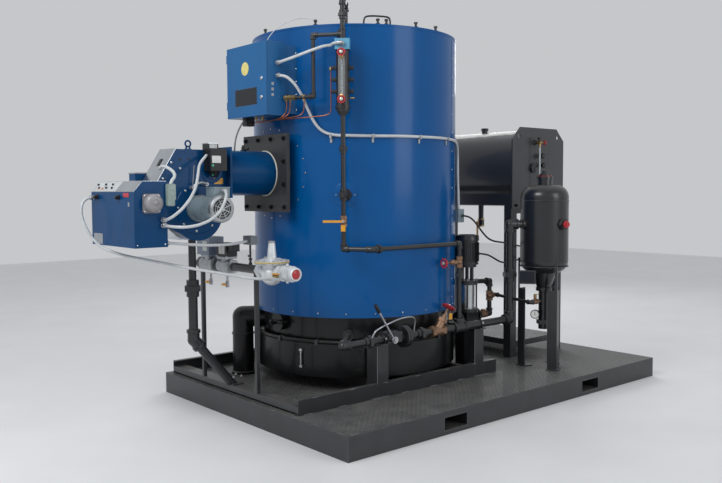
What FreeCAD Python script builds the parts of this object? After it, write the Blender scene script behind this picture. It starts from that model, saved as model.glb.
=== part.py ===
"""Skid-mounted vertical steam boiler package, as a parametric FreeCAD document.

Frame: +X along the skid from the burner end to the tank end, +Y from the fork-pocket side
to the far side, +Z up, origin at the centre of the skid's underside. Millimetres.
"""
import FreeCAD, Part
import math
import os
import Sketcher
from FreeCAD import Placement, Rotation, Vector

document = FreeCAD.newDocument("BoilerPackage")
sheet = document.addObject("Spreadsheet::Sheet", "Sizes")
nodes = {}


class Size:
    """A dimension: its value, and the expression over the sheet's cells that gives it."""

    def __init__(self, value, text):
        self.value = float(value)
        self.text = text

    def __add__(self, other):
        return Size(self.value + amount(other), "(%s + %s)" % (self.text, words(other)))

    def __radd__(self, other):
        return Size(amount(other) + self.value, "(%s + %s)" % (words(other), self.text))

    def __sub__(self, other):
        return Size(self.value - amount(other), "(%s - %s)" % (self.text, words(other)))

    def __rsub__(self, other):
        return Size(amount(other) - self.value, "(%s - %s)" % (words(other), self.text))

    def __mul__(self, other):
        return Size(self.value * amount(other), "(%s * %s)" % (self.text, words(other)))

    __rmul__ = __mul__

    def __truediv__(self, other):
        return Size(self.value / amount(other), "(%s / %s)" % (self.text, words(other)))

    def __neg__(self):
        return Size(-self.value, "(0 - %s)" % self.text)


def amount(value):
    return value.value if isinstance(value, Size) else float(value)


def words(value):
    return value.text if isinstance(value, Size) else "%.6g" % value


class Rows:
    """The sheet's rows, read back as Sizes under their aliases."""

    count = 0

    def add(self, **cells):
        for alias, value in cells.items():
            self.count += 1
            sheet.set("A%d" % self.count, alias.replace("_", " "))
            sheet.set("B%d" % self.count, "%.6g" % value)
            sheet.setAlias("B%d" % self.count, alias)
            setattr(self, alias, Size(value, "Sizes." + alias))


S = Rows()

# Ways a cylinder, cone or pad can point.
X_WAY, Y_WAY, Z_WAY = Vector(1, 0, 0), Vector(0, 1, 0), Vector(0, 0, 1)


def flat_way(degrees):
    """A level direction at an angle round the +Z axis, from +X towards +Y."""
    return Vector(math.cos(math.radians(degrees)), math.sin(math.radians(degrees)), 0)


def vec(point):
    return Vector(*[amount(c) for c in point])


def bind(obj, **sizes):
    for name, value in sizes.items():
        setattr(obj, name, amount(value))
        if isinstance(value, Size):
            obj.setExpression(name, value.text)
    return obj


def place(obj, at, turn=None):
    obj.Placement = Placement(vec(at), turn or Rotation())
    for letter, value in zip("xyz", at):
        if isinstance(value, Size):
            obj.setExpression("Placement.Base." + letter, value.text)
    return obj


def facing(way):
    return Rotation(Z_WAY, Vector(way))


# ---- primitives -------------------------------------------------------------------------

def box(at, long, wide, tall, turn=None):
    """A block whose lowest corner is at the given point."""
    return place(bind(document.addObject("Part::Box", "Block"), Length=long, Width=wide, Height=tall), at, turn)


def rod(at, way, long, radius):
    """A cylinder that starts at a point and runs along a way."""
    return place(bind(document.addObject("Part::Cylinder", "Rod"), Radius=radius, Height=long), at, facing(way))


def cone(at, way, long, start, end):
    return place(bind(document.addObject("Part::Cone", "Cone"), Radius1=start, Radius2=end, Height=long),
                 at, facing(way))


def ball(at, radius):
    return place(bind(document.addObject("Part::Sphere", "Ball"), Radius=radius), at)


def ring(at, way, radius, thick):
    return place(bind(document.addObject("Part::Torus", "Ring"), Radius1=radius, Radius2=thick), at, facing(way))


def nut(at, way, long, radius):
    """A hexagonal prism, such as a fitting's wrench flats."""
    return place(bind(document.addObject("Part::Prism", "Nut"), Circumradius=radius, Height=long), at, facing(way))


def fuse(*pieces):
    joined = document.addObject("Part::MultiFuse", "Joined")
    joined.Shapes, joined.Refine = list(pieces), False
    return joined


def cut(base, *tools):
    result = document.addObject("Part::Cut", "Cut")
    result.Base = base
    result.Tool = tools[0] if len(tools) == 1 else fuse(*tools)
    return result


def group(*pieces):
    """Separate solids that share one node."""
    together = document.addObject("Part::Compound", "Together")
    together.Links = list(pieces)
    return together


def rounded(base, radius, chosen):
    """A fillet on the edges of a piece that the chosen test picks."""
    document.recompute()
    result = document.addObject("Part::Fillet", "Rounded")
    result.Base = base
    picked = [i for i, edge in enumerate(base.Shape.Edges, 1) if chosen(edge)]
    result.Edges = [(i, amount(radius), amount(radius)) for i in picked]
    return result


def node(label, piece):
    """Names a sub-part: the label is its node and its file."""
    piece.Label = label
    nodes[label] = piece
    return piece


# ---- sketched bodies ----------------------------------------------------------------------

def sketched(body, role, points):
    """A closed outline on one of the body's origin planes, each corner tied to the axes."""
    sketch = body.newObject("Sketcher::SketchObject", "Outline")
    plane = [f for f in body.Origin.OriginFeatures if f.Role == role][0]
    sketch.AttachmentSupport = [(plane, "")]
    sketch.MapMode = "FlatFace"
    corners = [Vector(amount(a), amount(b), 0) for a, b in points]
    last = len(corners)
    for i, corner in enumerate(corners):
        sketch.addGeometry(Part.LineSegment(corner, corners[(i + 1) % last]), False)
    for i in range(last):
        sketch.addConstraint(Sketcher.Constraint("Coincident", i, 2, (i + 1) % last, 1))
    for i, point in enumerate(points):
        for value, kind, axis in ((point[0], "DistanceX", -2), (point[1], "DistanceY", -1)):
            if amount(value) == 0:
                sketch.addConstraint(Sketcher.Constraint("PointOnObject", i, 1, axis))
                continue
            mark = sketch.addConstraint(Sketcher.Constraint(kind, -1, 1, i, 1, amount(value)))
            if isinstance(value, Size):
                sketch.setExpression("Constraints[%d]" % mark, value.text)
    return sketch


def padded(points, long, at, turn=None):
    """An outline of (first, second) lengths, padded along the body's own Z."""
    body = document.addObject("PartDesign::Body", "Section")
    pad = body.newObject("PartDesign::Pad", "Pad")
    pad.Profile = sketched(body, "XY_Plane", points)
    bind(pad, Length=long)
    return place(body, at, turn)


def turned(profile, at):
    """An outline of (radius, height) lengths, turned about the body's own Z."""
    body = document.addObject("PartDesign::Body", "Turned")
    outline = sketched(body, "XZ_Plane", profile)
    spin = body.newObject("PartDesign::Revolution", "Revolution")
    spin.Profile = outline
    spin.ReferenceAxis = (outline, ["V_Axis"])
    spin.Angle = 360
    return place(body, at)


def turn_of(first, second):
    """The rotation that lays a body's own X on the first way and its own Y on the second."""
    third = first.cross(second)
    return Rotation(first, second, third, "XYZ")


def channel_outline(deep, flange, web, thick):
    """A channel section: its web on the second axis, its toes towards the first."""
    return [(0, 0), (flange, 0), (flange, thick), (web, thick), (web, deep - thick),
            (flange, deep - thick), (flange, deep), (0, deep)]


# ---- pipework -----------------------------------------------------------------------------

def fitting(at, radius, *ways):
    """A threaded elbow, tee or cross: a round body with a banded socket along each way."""
    pieces = [ball(at, radius * 1.3)]
    for way in ways:
        pieces.append(rod(at, way, radius * 2.2, radius * 1.28))
        band = vec(at) + Vector(way).normalize() * amount(radius) * 1.6
        pieces.append(rod(tuple(band), way, radius * 0.6, radius * 1.5))
    return pieces


def union(at, way, radius):
    """A union: two sockets and the wide nut between them."""
    way = Vector(way).normalize()
    start = vec(at) - way * amount(radius) * 1.8
    middle = vec(at) - way * amount(radius) * 0.6
    return [rod(tuple(start), way, radius * 3.6, radius * 1.35),
            nut(tuple(middle), way, radius * 1.2, radius * 1.95)]


def flange_disc(at, way, radius, thick):
    return rod(at, way, thick, radius)


def runs(points, radius):
    """Straight pipe from point to point."""
    pieces = []
    for a, b in zip(points, points[1:]):
        step = vec(b) - vec(a)
        pieces.append(rod(a, step, step.Length, radius))
    return pieces


def bends(points, radius):
    """An elbow at each inner point of a route."""
    pieces = []
    for before, at, after in zip(points, points[1:], points[2:]):
        pieces += fitting(at, radius, vec(before) - vec(at), vec(after) - vec(at))
    return pieces


def swept(label, points, radius):
    """A bent tube: straight runs joined by tangent arcs, each as large as its runs allow."""
    corners = [vec(p) for p in points]
    edges = []
    start = corners[0]
    tightest = None
    for before, at, after in zip(corners, corners[1:], corners[2:]):
        into, out = (at - before), (after - at)
        half = into.getAngle(out) / 2
        reach = 0.45 * min(into.Length, out.Length)
        bend = reach / math.tan(half)
        tightest = bend if tightest is None else min(tightest, bend)
        first = at - into.normalize() * reach
        last = at + out.normalize() * reach
        axis = (last + first) * 0.5 - at
        middle = at + axis.normalize() * (bend / math.cos(half) - bend)
        edges.append(Part.LineSegment(start, first).toShape())
        edges.append(Part.Arc(first, middle, last).toShape())
        start = last
    edges.append(Part.LineSegment(start, corners[-1]).toShape())
    path = Part.Wire(edges)
    heading = corners[1] - corners[0]
    section = Part.Wire(Part.Circle(corners[0], heading, amount(radius)).toShape())
    tube = path.makePipeShell([section], True, False)
    ideal = math.pi * amount(radius) ** 2 * path.Length
    if abs(tube.Volume / ideal - 1) > 0.01:
        raise ValueError("%s: its volume is not its section times its length" % label)
    print("%s: length %.0f, tightest arc %.0f" % (label, path.Length, tightest or 0))
    holder = document.addObject("Part::Feature", "Tube")
    holder.Shape = tube
    return holder


# ---- skid: six-inch channel frame under a tread-plate deck ---------------------------------

S.add(skid_long=3400, skid_wide=2286, channel_deep=152.4, channel_flange=48.8, channel_web=5.1,
      channel_thick=8.7, deck_thick=6.35, pocket_apart=1540, pocket_wide=216, pocket_tall=83,
      pocket_wall=6, pocket_rise=32.5)
deck_top = S.channel_deep + S.deck_thick
half_long, half_wide = S.skid_long / 2, S.skid_wide / 2
skid_section = channel_outline(S.channel_deep, S.channel_flange, S.channel_web, S.channel_thick)
pocket_centres = (-S.pocket_apart / 2, S.pocket_apart / 2)


def pocket_block(centre, wall, extra):
    """The outside (with its wall) or the inside of a fork pocket, across the skid."""
    wide = S.pocket_wide + wall * 2
    return box((centre - wide / 2, -half_wide - extra, S.pocket_rise - wall), wide,
               S.skid_wide + extra * 2, S.pocket_tall + wall * 2)


def side_channel(y, toes):
    """A long side, web outwards, with the pockets' outsides cut through it."""
    turn = turn_of(toes, Z_WAY)
    start = -half_long if toes.cross(Z_WAY).x > 0 else half_long
    channel = padded(skid_section, S.skid_long, (start, y, 0), turn)
    return cut(channel, *[pocket_block(c, S.pocket_wall, 10) for c in pocket_centres])


node("skid_sides", group(side_channel(-half_wide, Y_WAY), side_channel(half_wide, -Y_WAY)))


def end_channel(x, toes):
    """A short end, web outwards, its flanges coped to fit inside the side channels."""
    turn = turn_of(toes, Z_WAY)
    inside = S.skid_wide - S.channel_web * 2
    start = -inside / 2 if toes.cross(Z_WAY).y > 0 else inside / 2
    channel = padded(skid_section, inside, (x, start, 0), turn)
    cope = S.channel_flange - S.channel_web
    low_x = x - S.channel_flange - 1
    copes = [box((low_x, y, z), S.channel_flange * 2 + 2, cope, S.channel_thick + 1)
             for y in (-inside / 2, inside / 2 - cope)
             for z in (-1, S.channel_deep - S.channel_thick)]
    return cut(channel, *copes)


node("skid_ends", group(end_channel(-half_long, X_WAY), end_channel(half_long, -X_WAY)))

node("fork_pockets", group(*[cut(pocket_block(c, S.pocket_wall, 0), pocket_block(c, 0, 10))
                             for c in pocket_centres]))

S.add(cross_inner=350, cross_outer=1250, cross_middle=-24.4)
cross_long = S.skid_wide - S.channel_flange * 2
node("skid_cross_members", group(*[
    padded(skid_section, cross_long, (x, cross_long / 2, 0), turn_of(X_WAY, Z_WAY))
    for x in (-S.cross_outer, -S.cross_inner, S.cross_middle, S.cross_inner, S.cross_outer)]))
node("deck_plate", box((-half_long, -half_wide, S.channel_deep), S.skid_long, S.skid_wide, S.deck_thick))


# ---- boiler rails and posts ----------------------------------------------------------------

S.add(boiler_x=-470, boiler_y=240, rail_deep=101.6, rail_flange=40, rail_web=4.7, rail_thick=7.5,
      rail_start=-1665, rail_end=280, rail_near=-600, rail_far=1080, post_wide=101.6, post_deep=110,
      post_burner=-982, post_tank=27, post_top=528, burner_channel_top=215)
rail_section = channel_outline(S.rail_deep, S.rail_flange, S.rail_web, S.rail_thick)
rail_long = S.rail_end - S.rail_start
rail_top = deck_top + S.rail_deep


def post_block(x, slack=0):
    return box((x - slack, S.rail_near - slack, deck_top), S.post_wide + slack * 2,
               S.post_deep + slack * 2, S.post_top - deck_top)


near_rail = padded(rail_section, rail_long, (S.rail_start, S.rail_near, deck_top), turn_of(Y_WAY, Z_WAY))
far_rail = padded(rail_section, rail_long, (S.rail_end, S.rail_far, deck_top), turn_of(-Y_WAY, Z_WAY))
node("boiler_rails", group(cut(near_rail, *[post_block(x) for x in (S.post_burner, S.post_tank)]), far_rail))
between_toes = S.rail_far - S.rail_near - S.rail_flange * 2
between_webs = S.rail_far - S.rail_near - S.rail_web * 2
node("cradle_channels", group(
    padded(rail_section, between_webs, (S.rail_start, S.rail_far - S.rail_web, S.burner_channel_top),
           turn_of(-Z_WAY, X_WAY)),
    *[padded(rail_section, between_toes, (x, S.rail_far - S.rail_flange, deck_top), turn_of(X_WAY, Z_WAY))
      for x in (S.boiler_x - 400, S.boiler_x + 360)]))


# ---- boiler: base drum, pressure vessel, insulated jacket and top ----------------------------

S.add(base_radius=790, base_wall=12, base_top=500, vessel_radius=739, vessel_wall=16, vessel_top=2738,
      jacket_radius=800, jacket_inner=740, jacket_bottom=694, jacket_top=2752, cover_thick=14,
      lip_thick=14)
boiler = (S.boiler_x, S.boiler_y)
base_deep = S.base_top - rail_top
base_ledge = S.vessel_radius - 39
base_drum = turned([
    (0, 0), (S.base_radius, 0), (S.base_radius, base_deep), (base_ledge, base_deep),
    (base_ledge, base_deep - S.base_wall), (S.base_radius - S.base_wall, base_deep - S.base_wall),
    (S.base_radius - S.base_wall, S.base_wall), (0, S.base_wall)], (*boiler, rail_top))
vessel_tall = S.vessel_top - S.base_top
node("pressure_vessel", turned([
    (0, 0), (S.vessel_radius, 0), (S.vessel_radius, vessel_tall), (0, vessel_tall),
    (0, vessel_tall - S.vessel_wall), (S.vessel_radius - S.vessel_wall, vessel_tall - S.vessel_wall),
    (S.vessel_radius - S.vessel_wall, S.vessel_wall), (0, S.vessel_wall)], (*boiler, S.base_top)))
jacket_tall = S.jacket_top - S.jacket_bottom
node("jacket", turned([
    (S.jacket_inner, 0), (S.jacket_radius, 0), (S.jacket_radius, jacket_tall),
    (S.jacket_inner, jacket_tall)], (*boiler, S.jacket_bottom)))
node("top_cover", rod((*boiler, S.jacket_top), Z_WAY, S.cover_thick, S.jacket_radius + 3))
node("lower_drum", fuse(base_drum, ring((*boiler, S.base_top + S.lip_thick - 1), Z_WAY, S.base_radius - 8,
                                        S.lip_thick)))
cover_top = S.jacket_top + S.cover_thick

S.add(handhole_angle=-178, handhole_rise=628)


def round_boiler(angle, radius, z):
    """A point at an angle and a radius round the boiler's axis."""
    spot = vec((*boiler, z)) + flat_way(angle) * amount(radius)
    return (spot.x, spot.y, z)


out = flat_way(S.handhole_angle.value)
across = flat_way(S.handhole_angle.value + 90)
hole = round_boiler(S.handhole_angle.value, 720, S.handhole_rise)
hole_vec = vec(hole) + out * 11
node("handhole_cover", cut(fuse(
    rod(hole, out, 55, 62), rod(tuple(hole_vec + out * 44), out, 12, 65),
    rod(tuple(hole_vec + out * 56), out, 46, 9),
    nut(tuple(hole_vec + out * 76), out, 14, 17),
    rod(tuple(hole_vec + out * 66 - across * 78), across, 156, 11),
    rod(tuple(hole_vec + out * 10 - across * 70), out, 66, 10),
    rod(tuple(hole_vec + out * 10 + across * 70), out, 66, 10)),
    rod((*boiler, S.base_top), Z_WAY, vessel_tall, S.vessel_radius)))

# Base elbow: a six-inch duct from the deck into the vessel behind the burner end.
S.add(elbow_radius=82, elbow_rise=610, elbow_angle=148, elbow_out=905)
elbow_foot = round_boiler(S.elbow_angle.value, S.elbow_out, deck_top)
elbow_turn = round_boiler(S.elbow_angle.value, S.elbow_out, S.elbow_rise)
elbow_entry = round_boiler(S.elbow_angle.value, 700, S.elbow_rise)
node("base_elbow_pipe", cut(
    fuse(*runs([elbow_foot, elbow_turn, elbow_entry], S.elbow_radius), ball(elbow_turn, S.elbow_radius),
         rod(elbow_foot, Z_WAY, 12, S.elbow_radius + 12)),
    rod((*boiler, S.base_top), Z_WAY, vessel_tall, S.vessel_radius),
    rod((*boiler, deck_top), Z_WAY, S.base_top - deck_top, S.base_radius + 7)))

# Top nozzles: the steam outlet's flange and the flue's collar.
S.add(steam_x=-520, steam_y=330, steam_pipe=57.2, steam_bore=51.2, steam_flange=114.3,
      steam_tall=95, steam_plate=24, steam_circle=190.5, steam_hole=9.5,
      flue_x=-190, flue_y=560, flue_radius=152.4, flue_wall=5, flue_tall=150)
steam = (S.steam_x, S.steam_y, cover_top)
steam_holes = [rod((S.steam_x + S.steam_circle / 2 * math.cos(math.radians(a)),
                    S.steam_y + S.steam_circle / 2 * math.sin(math.radians(a)),
                    cover_top + S.steam_tall - S.steam_plate - 1), Z_WAY, S.steam_plate + 2, S.steam_hole)
               for a in (22.5 + 45 * k for k in range(8))]
steam_nozzle = cut(
    fuse(rod(steam, Z_WAY, S.steam_tall - 1, S.steam_pipe),
         rod((*steam[:2], cover_top + S.steam_tall - S.steam_plate), Z_WAY, S.steam_plate, S.steam_flange)),
    rod((*steam[:2], cover_top + 5), Z_WAY, S.steam_tall, S.steam_bore), *steam_holes)
flue = (S.flue_x, S.flue_y, cover_top)
flue_collar = cut(rod(flue, Z_WAY, S.flue_tall, S.flue_radius),
                  rod((*flue[:2], cover_top + 4), Z_WAY, S.flue_tall, S.flue_radius - S.flue_wall))
node("top_nozzles", group(steam_nozzle, flue_collar))


# ---- burner: plate, blast tube, blower, motor and console ------------------------------------

S.add(burner_y=245, burner_z=1732, plate_x=-1332, plate_thick=25, plate_size=560, neck_radius=205,
      tube_radius=160, tube_start=-1730, tube_flange=15, tube_flange_size=350)
plate_back = S.plate_x + S.plate_thick
jacket_core = rod((*boiler, 600), Z_WAY, 2300, S.jacket_radius)
burner_neck = cut(rod((plate_back - 1, S.burner_y, S.burner_z), X_WAY, 160, S.neck_radius), jacket_core)
half_plate = S.plate_size / 2
node("burner_plate", fuse(burner_neck, box(
    (S.plate_x, S.burner_y - half_plate, S.burner_z - half_plate), S.plate_thick, S.plate_size, S.plate_size)))
half_flange = S.tube_flange_size / 2
node("blast_tube", fuse(
    rod((S.tube_start, S.burner_y, S.burner_z), X_WAY, S.plate_x - S.tube_start, S.tube_radius),
    box((S.tube_start, S.burner_y - half_flange, S.burner_z - half_flange), S.tube_flange,
        S.tube_flange_size, S.tube_flange_size)))

S.add(housing_near=135, housing_wide=220, scroll_x=-1947, scroll_z=1459, scroll_radius=190,
      housing_right=-1730, housing_top=1885, housing_slope_x=-2108, housing_left=-2240,
      housing_slope_z=1675, housing_foot=1400)
outline_x0, outline_z0 = -2600, 1000
housing_outline = [(S.housing_left - outline_x0, S.housing_foot - outline_z0),
                   (S.scroll_x - 120 - outline_x0, 1312 - outline_z0),
                   (S.scroll_x - outline_x0, S.scroll_z - 185 - outline_z0),
                   (S.scroll_x + 134 - outline_x0, S.scroll_z - 134 - outline_z0),
                   (S.housing_right - outline_x0, S.scroll_z - outline_z0),
                   (S.housing_right - outline_x0, S.housing_top - outline_z0),
                   (S.housing_slope_x - outline_x0, S.housing_top - outline_z0),
                   (S.housing_left - outline_x0, S.housing_slope_z - outline_z0)]
housing_shape = padded(housing_outline, S.housing_wide,
                       (outline_x0, S.housing_near + S.housing_wide, outline_z0), turn_of(X_WAY, Z_WAY))
lug_at = (S.scroll_x - 10, S.burner_y, S.housing_top + 44)
lug = fuse(ring(lug_at, Y_WAY, 20, 6), box((lug_at[0] - 22, S.burner_y - 9, S.housing_top - 2), 44, 18, 12),
           *[rod((lug_at[0] + side * 13, S.burner_y, S.housing_top), Z_WAY, 32, 6) for side in (-1, 1)])
node("blower_housing", fuse(
    housing_shape, lug,
    rod((S.scroll_x, S.housing_near, S.scroll_z), Y_WAY, S.housing_wide, S.scroll_radius)))

S.add(console_front=-2510, console_rear=-2287, console_near=-80, console_wide=647, console_low=1254,
      console_front_top=1602, console_top=1668, console_slope=60)
console_x0, console_z0 = -2700, 1000
console_outline = [(S.console_front - console_x0, S.console_low - console_z0),
                   (S.console_rear - console_x0, S.console_low - console_z0),
                   (S.console_rear - console_x0, S.console_top - console_z0),
                   (S.console_front + S.console_slope - console_x0, S.console_top - console_z0),
                   (S.console_front - console_x0, S.console_front_top - console_z0)]
node("console_box", fuse(
    padded(console_outline, S.console_wide, (console_x0, S.console_near + S.console_wide, console_z0),
           turn_of(X_WAY, Z_WAY)),
    box((S.console_rear - 5, S.housing_near + 20, S.console_low + 170), S.housing_left - S.console_rear + 5,
        S.housing_wide - 40, 190)))

S.add(motor_x=-1945, motor_z=1489, motor_radius=88, motor_near=-168)
motor_long = S.housing_near - S.motor_near
node("blower_motor", fuse(
    rod((S.motor_x, S.motor_near + 26, S.motor_z), Y_WAY, motor_long - 26, S.motor_radius - 5),
    rod((S.motor_x, S.motor_near, S.motor_z), Y_WAY, 28, S.motor_radius),
    rod((S.motor_x, S.housing_near - 30, S.motor_z), Y_WAY, 30, S.motor_radius + 4),
    box((S.motor_x - 32, S.motor_near + 40, S.motor_z + 76), 118, 100, 62)))

S.add(actuator_x=-1900, actuator_z=1742)
node("burner_controls", group(
    fuse(box((S.actuator_x, S.housing_near - 95, S.actuator_z), 125, 95, 150),
         cone((S.actuator_x + 50, S.housing_near - 48, S.actuator_z - 42), Z_WAY, 43, 16, 46)),
    box((-1822, S.burner_y - 40, S.housing_top), 80, 80, 52)))

# Prop under the blower: a pipe leg with a union, an elbow and a raking foot.
S.add(leg_x=-1943, leg_y=238, leg_radius=32, leg_union=935, leg_turn=575, leg_foot=-1617)
leg_top = (S.leg_x, S.leg_y, S.scroll_z - S.scroll_radius)
leg_joint = (S.leg_x, S.leg_y, S.leg_union)
leg_bend = (S.leg_x, S.leg_y, S.leg_turn)
leg_foot = (S.leg_foot, S.leg_y, S.burner_channel_top - 20)
node("burner_leg", cut(fuse(
    *runs([leg_top, leg_joint], S.leg_radius - 6), *runs([leg_joint, leg_bend, leg_foot], S.leg_radius),
    *union(leg_joint, Z_WAY, S.leg_radius), *bends([leg_joint, leg_bend, leg_foot], S.leg_radius),
    box((S.leg_foot - 45, S.leg_y - 50, S.burner_channel_top), 90, 100, 10)),
    box((S.leg_foot - 90, S.leg_y - 90, deck_top), 180, 180, S.burner_channel_top - deck_top)))


# ---- gas train ---------------------------------------------------------------------------------

S.add(gas_x=-1650, gas_z=1070, gas_radius=30, gas_inlet=-478, gas_far=640, riser_x=-1590)
gas_route = [(S.gas_x, -150, S.gas_z), (S.gas_x, S.gas_far, S.gas_z), (S.riser_x, S.gas_far, S.gas_z),
             (S.riser_x, S.gas_far, S.burner_z), (S.riser_x, S.burner_y + S.tube_radius, S.burner_z)]


def valve_body(y, long, radius):
    """A cast gas valve body round the pipe, with its flats and its neck up to the actuator."""
    start = (S.gas_x, y, S.gas_z)
    return [rod(start, Y_WAY, long, radius), nut((S.gas_x, y - 14, S.gas_z), Y_WAY, 30, radius * 1.02),
            nut((S.gas_x, y + long - 37, S.gas_z), Y_WAY, 30, radius * 1.02),
            rod((S.gas_x, y + long / 2, S.gas_z), Z_WAY, 70, radius * 0.8),
            box((S.gas_x - 52, y + long / 2 - 52, S.gas_z + 52), 104, 104, 16)]


node("gas_actuators", group(
    box((S.gas_x - 62, 412, S.gas_z + 70), 124, 172, 132),
    fuse(box((S.gas_x - 45, 200, S.gas_z + 70), 90, 130, 96), box((S.gas_x - 35, 150, S.gas_z + 108), 70, 60, 54)),
    box((S.gas_x - 28, -92, S.gas_z + 168), 56, 96, 60)))
S.add(regulator_y=-302)
reg = (S.gas_x, S.regulator_y, S.gas_z)
node("gas_regulator", fuse(
    rod((S.gas_x, -150, S.gas_z), -Y_WAY, 300, 40), nut((S.gas_x, -165, S.gas_z), -Y_WAY, 38, 56),
    nut((S.gas_x, -395, S.gas_z), -Y_WAY, 42, 56), ball((S.gas_x, S.regulator_y, S.gas_z - 18), 74),
    rod(reg, Z_WAY, 50, 62), cone((S.gas_x, S.regulator_y, S.gas_z + 46), Z_WAY, 14, 96, 114),
    rod((S.gas_x, S.regulator_y, S.gas_z + 60), Z_WAY, 12, 116),
    cone((S.gas_x, S.regulator_y, S.gas_z + 72), Z_WAY, 18, 112, 52),
    cone((S.gas_x, S.regulator_y, S.gas_z + 88), Z_WAY, 108, 32, 22),
    rod((S.gas_x, -430, S.gas_z), -Y_WAY, 103, 46), nut((S.gas_x, -448, S.gas_z), -Y_WAY, 26, 58),
    rod((S.gas_x, -510, S.gas_z), -Y_WAY, 26, 52), rod((S.gas_x, -530, S.gas_z), -Y_WAY, 36, 41),
    rod((S.gas_x - 42, -352, S.gas_z - 40), -X_WAY, 22, 13)))

S.add(rod_half=13, rod_near=-190, rod_far=610)
node("gas_pipe", fuse(
    *runs(gas_route, S.gas_radius), *bends(gas_route, S.gas_radius),
    rod((S.gas_x, -41, S.gas_z + 20), Z_WAY, 148, 7), rod((S.gas_x, -41, S.gas_z + 88), Y_WAY, 22, 8),
    *[box((S.gas_x - S.rod_half, y - S.rod_half, S.burner_channel_top), S.rod_half * 2, S.rod_half * 2,
          S.gas_z - S.burner_channel_top) for y in (-112, S.rod_far)]))


def gas_cock(y, z):
    """A small test cock that hangs under a gas valve, and the place of its handle's hub."""
    return fuse(rod((S.gas_x, y, z - 18), Z_WAY, S.gas_z - 60 - z + 18 + 20, 7),
                nut((S.gas_x, y, z - 22), Z_WAY, 44, 15), rod((S.gas_x, y, z), -X_WAY, 24, 8))


def gas_cock_handle(label, y, z):
    node(label, fuse(rod((S.gas_x - 24.5, y, z), -X_WAY, 8, 10), box((S.gas_x - 33, y - 30, z - 6), 6, 60, 12)))


S.add(cock_far_y=495, cock_near_y=265, cock_z=938)
bored = rod((S.gas_x, 100, S.gas_z), Y_WAY, 540, S.gas_radius)
node("gas_valve_bodies", cut(group(
    fuse(*valve_body(404, 170, 56), gas_cock(S.cock_far_y, S.cock_z)),
    fuse(*valve_body(190, 150, 50), gas_cock(S.cock_near_y, S.cock_z))), bored))
gas_cock_handle("gas_cock_handle_far", S.cock_far_y, S.cock_z)
gas_cock_handle("gas_cock_handle_near", S.cock_near_y, S.cock_z)


# ---- control cabinet -----------------------------------------------------------------------------

S.add(cabinet_size=508, cabinet_y=228, cabinet_z=2388, cabinet_front=-1478, cabinet_back=-1330,
      cabinet_wall=4, door_thick=14, door_gap=2, pin_out=9, pin_radius=6)
low_y, high_y = S.cabinet_y - S.cabinet_size / 2, S.cabinet_y + S.cabinet_size / 2
low_z = S.cabinet_z - S.cabinet_size / 2
cabinet_deep = S.cabinet_back - S.cabinet_front
door_face = S.cabinet_front - S.door_gap - S.door_thick
pin = (door_face + S.door_thick / 2, high_y + S.pin_out)
hinge_heights = (S.cabinet_z - 190, S.cabinet_z + 150)


def knuckle(z, long):
    return rod((*pin, z), Z_WAY, long, S.pin_radius)


cabinet_knuckles = [piece for z in hinge_heights for piece in (
    knuckle(z, 19), knuckle(z + 41, 19),
    box((pin[0], high_y + 3, z), 26, 9, 19), box((pin[0], high_y + 3, z + 41), 26, 9, 19),
    box((S.cabinet_front + 1, high_y - 1, z), 30, 6, 60))]
cabinet_case = fuse(
    cut(box((S.cabinet_front, low_y, low_z), cabinet_deep, S.cabinet_size, S.cabinet_size),
        box((S.cabinet_front - 10, low_y + S.cabinet_wall, low_z + S.cabinet_wall),
            cabinet_deep + 10 - S.cabinet_wall, S.cabinet_size - S.cabinet_wall * 2,
            S.cabinet_size - S.cabinet_wall * 2)), *cabinet_knuckles)
door_knuckles = [piece for z in hinge_heights for piece in (
    knuckle(z + 20, 20), box((pin[0] - 5, high_y - 6, z + 20), 10, 12, 20))]
node("cabinet_door", fuse(box((door_face, low_y, low_z), S.door_thick, S.cabinet_size, S.cabinet_size),
                          *door_knuckles))
node("cabinet_box", cut(fuse(
    cabinet_case,
    box((S.cabinet_back - 1, low_y + 6, low_z + 16), 140, 5, S.cabinet_size - 32),
    box((S.cabinet_back - 1, high_y - 11, low_z + 16), 140, 5, S.cabinet_size - 32),
    box((S.cabinet_back - 1, low_y + 6, low_z + 60), 5, S.cabinet_size - 12, 60),
    box((S.cabinet_back - 1, low_y + 6, low_z + S.cabinet_size - 120), 5, S.cabinet_size - 12, 60)),
    rod((*boiler, 2000), Z_WAY, 800, S.jacket_radius)))


# ---- water column with its gauge glass -----------------------------------------------------------

S.add(column_radius=45, column_low=2148, column_top=2560, column_pipe=16.7, column_out=935,
      probe_tall=72, loop_pipe=13.4, riser_tee=2668, riser_top=2905, glass_low=2218, glass_high=2532,
      glass_out=67, wheel_out=106, wheel_radius=26, wheel_thick=4)
column_angle = -135
outwards, sideways = flat_way(column_angle), flat_way(column_angle + 90)


def column_at(z, radius=None):
    return round_boiler(column_angle, radius or S.column_out, z)


def side_of_column(z, beyond, along):
    """A point that far out from the column's axis and that far round the jacket."""
    spot = vec(column_at(z)) + outwards * amount(beyond) + sideways * amount(along)
    return (spot.x, spot.y, z)


def test_cock(z, side):
    """A try cock that stands out sideways from the column."""
    return [rod(side_of_column(z, 0, side * 30), sideways * side, 44, 7),
            nut(side_of_column(z, 0, side * 60), sideways * side, 12, 11)]


def glass_valve(z, glass_way):
    """A gauge valve: its arm and body on the column, a socket to the glass and a bonnet."""
    return [rod(side_of_column(z, 0, 0), outwards, 60, 12), nut(side_of_column(z, 52, 0), outwards, 30, 19),
            rod(side_of_column(z, S.glass_out, 0), glass_way, 34, 11),
            rod(side_of_column(z, 80, 0), outwards, 16, 9)]


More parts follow.
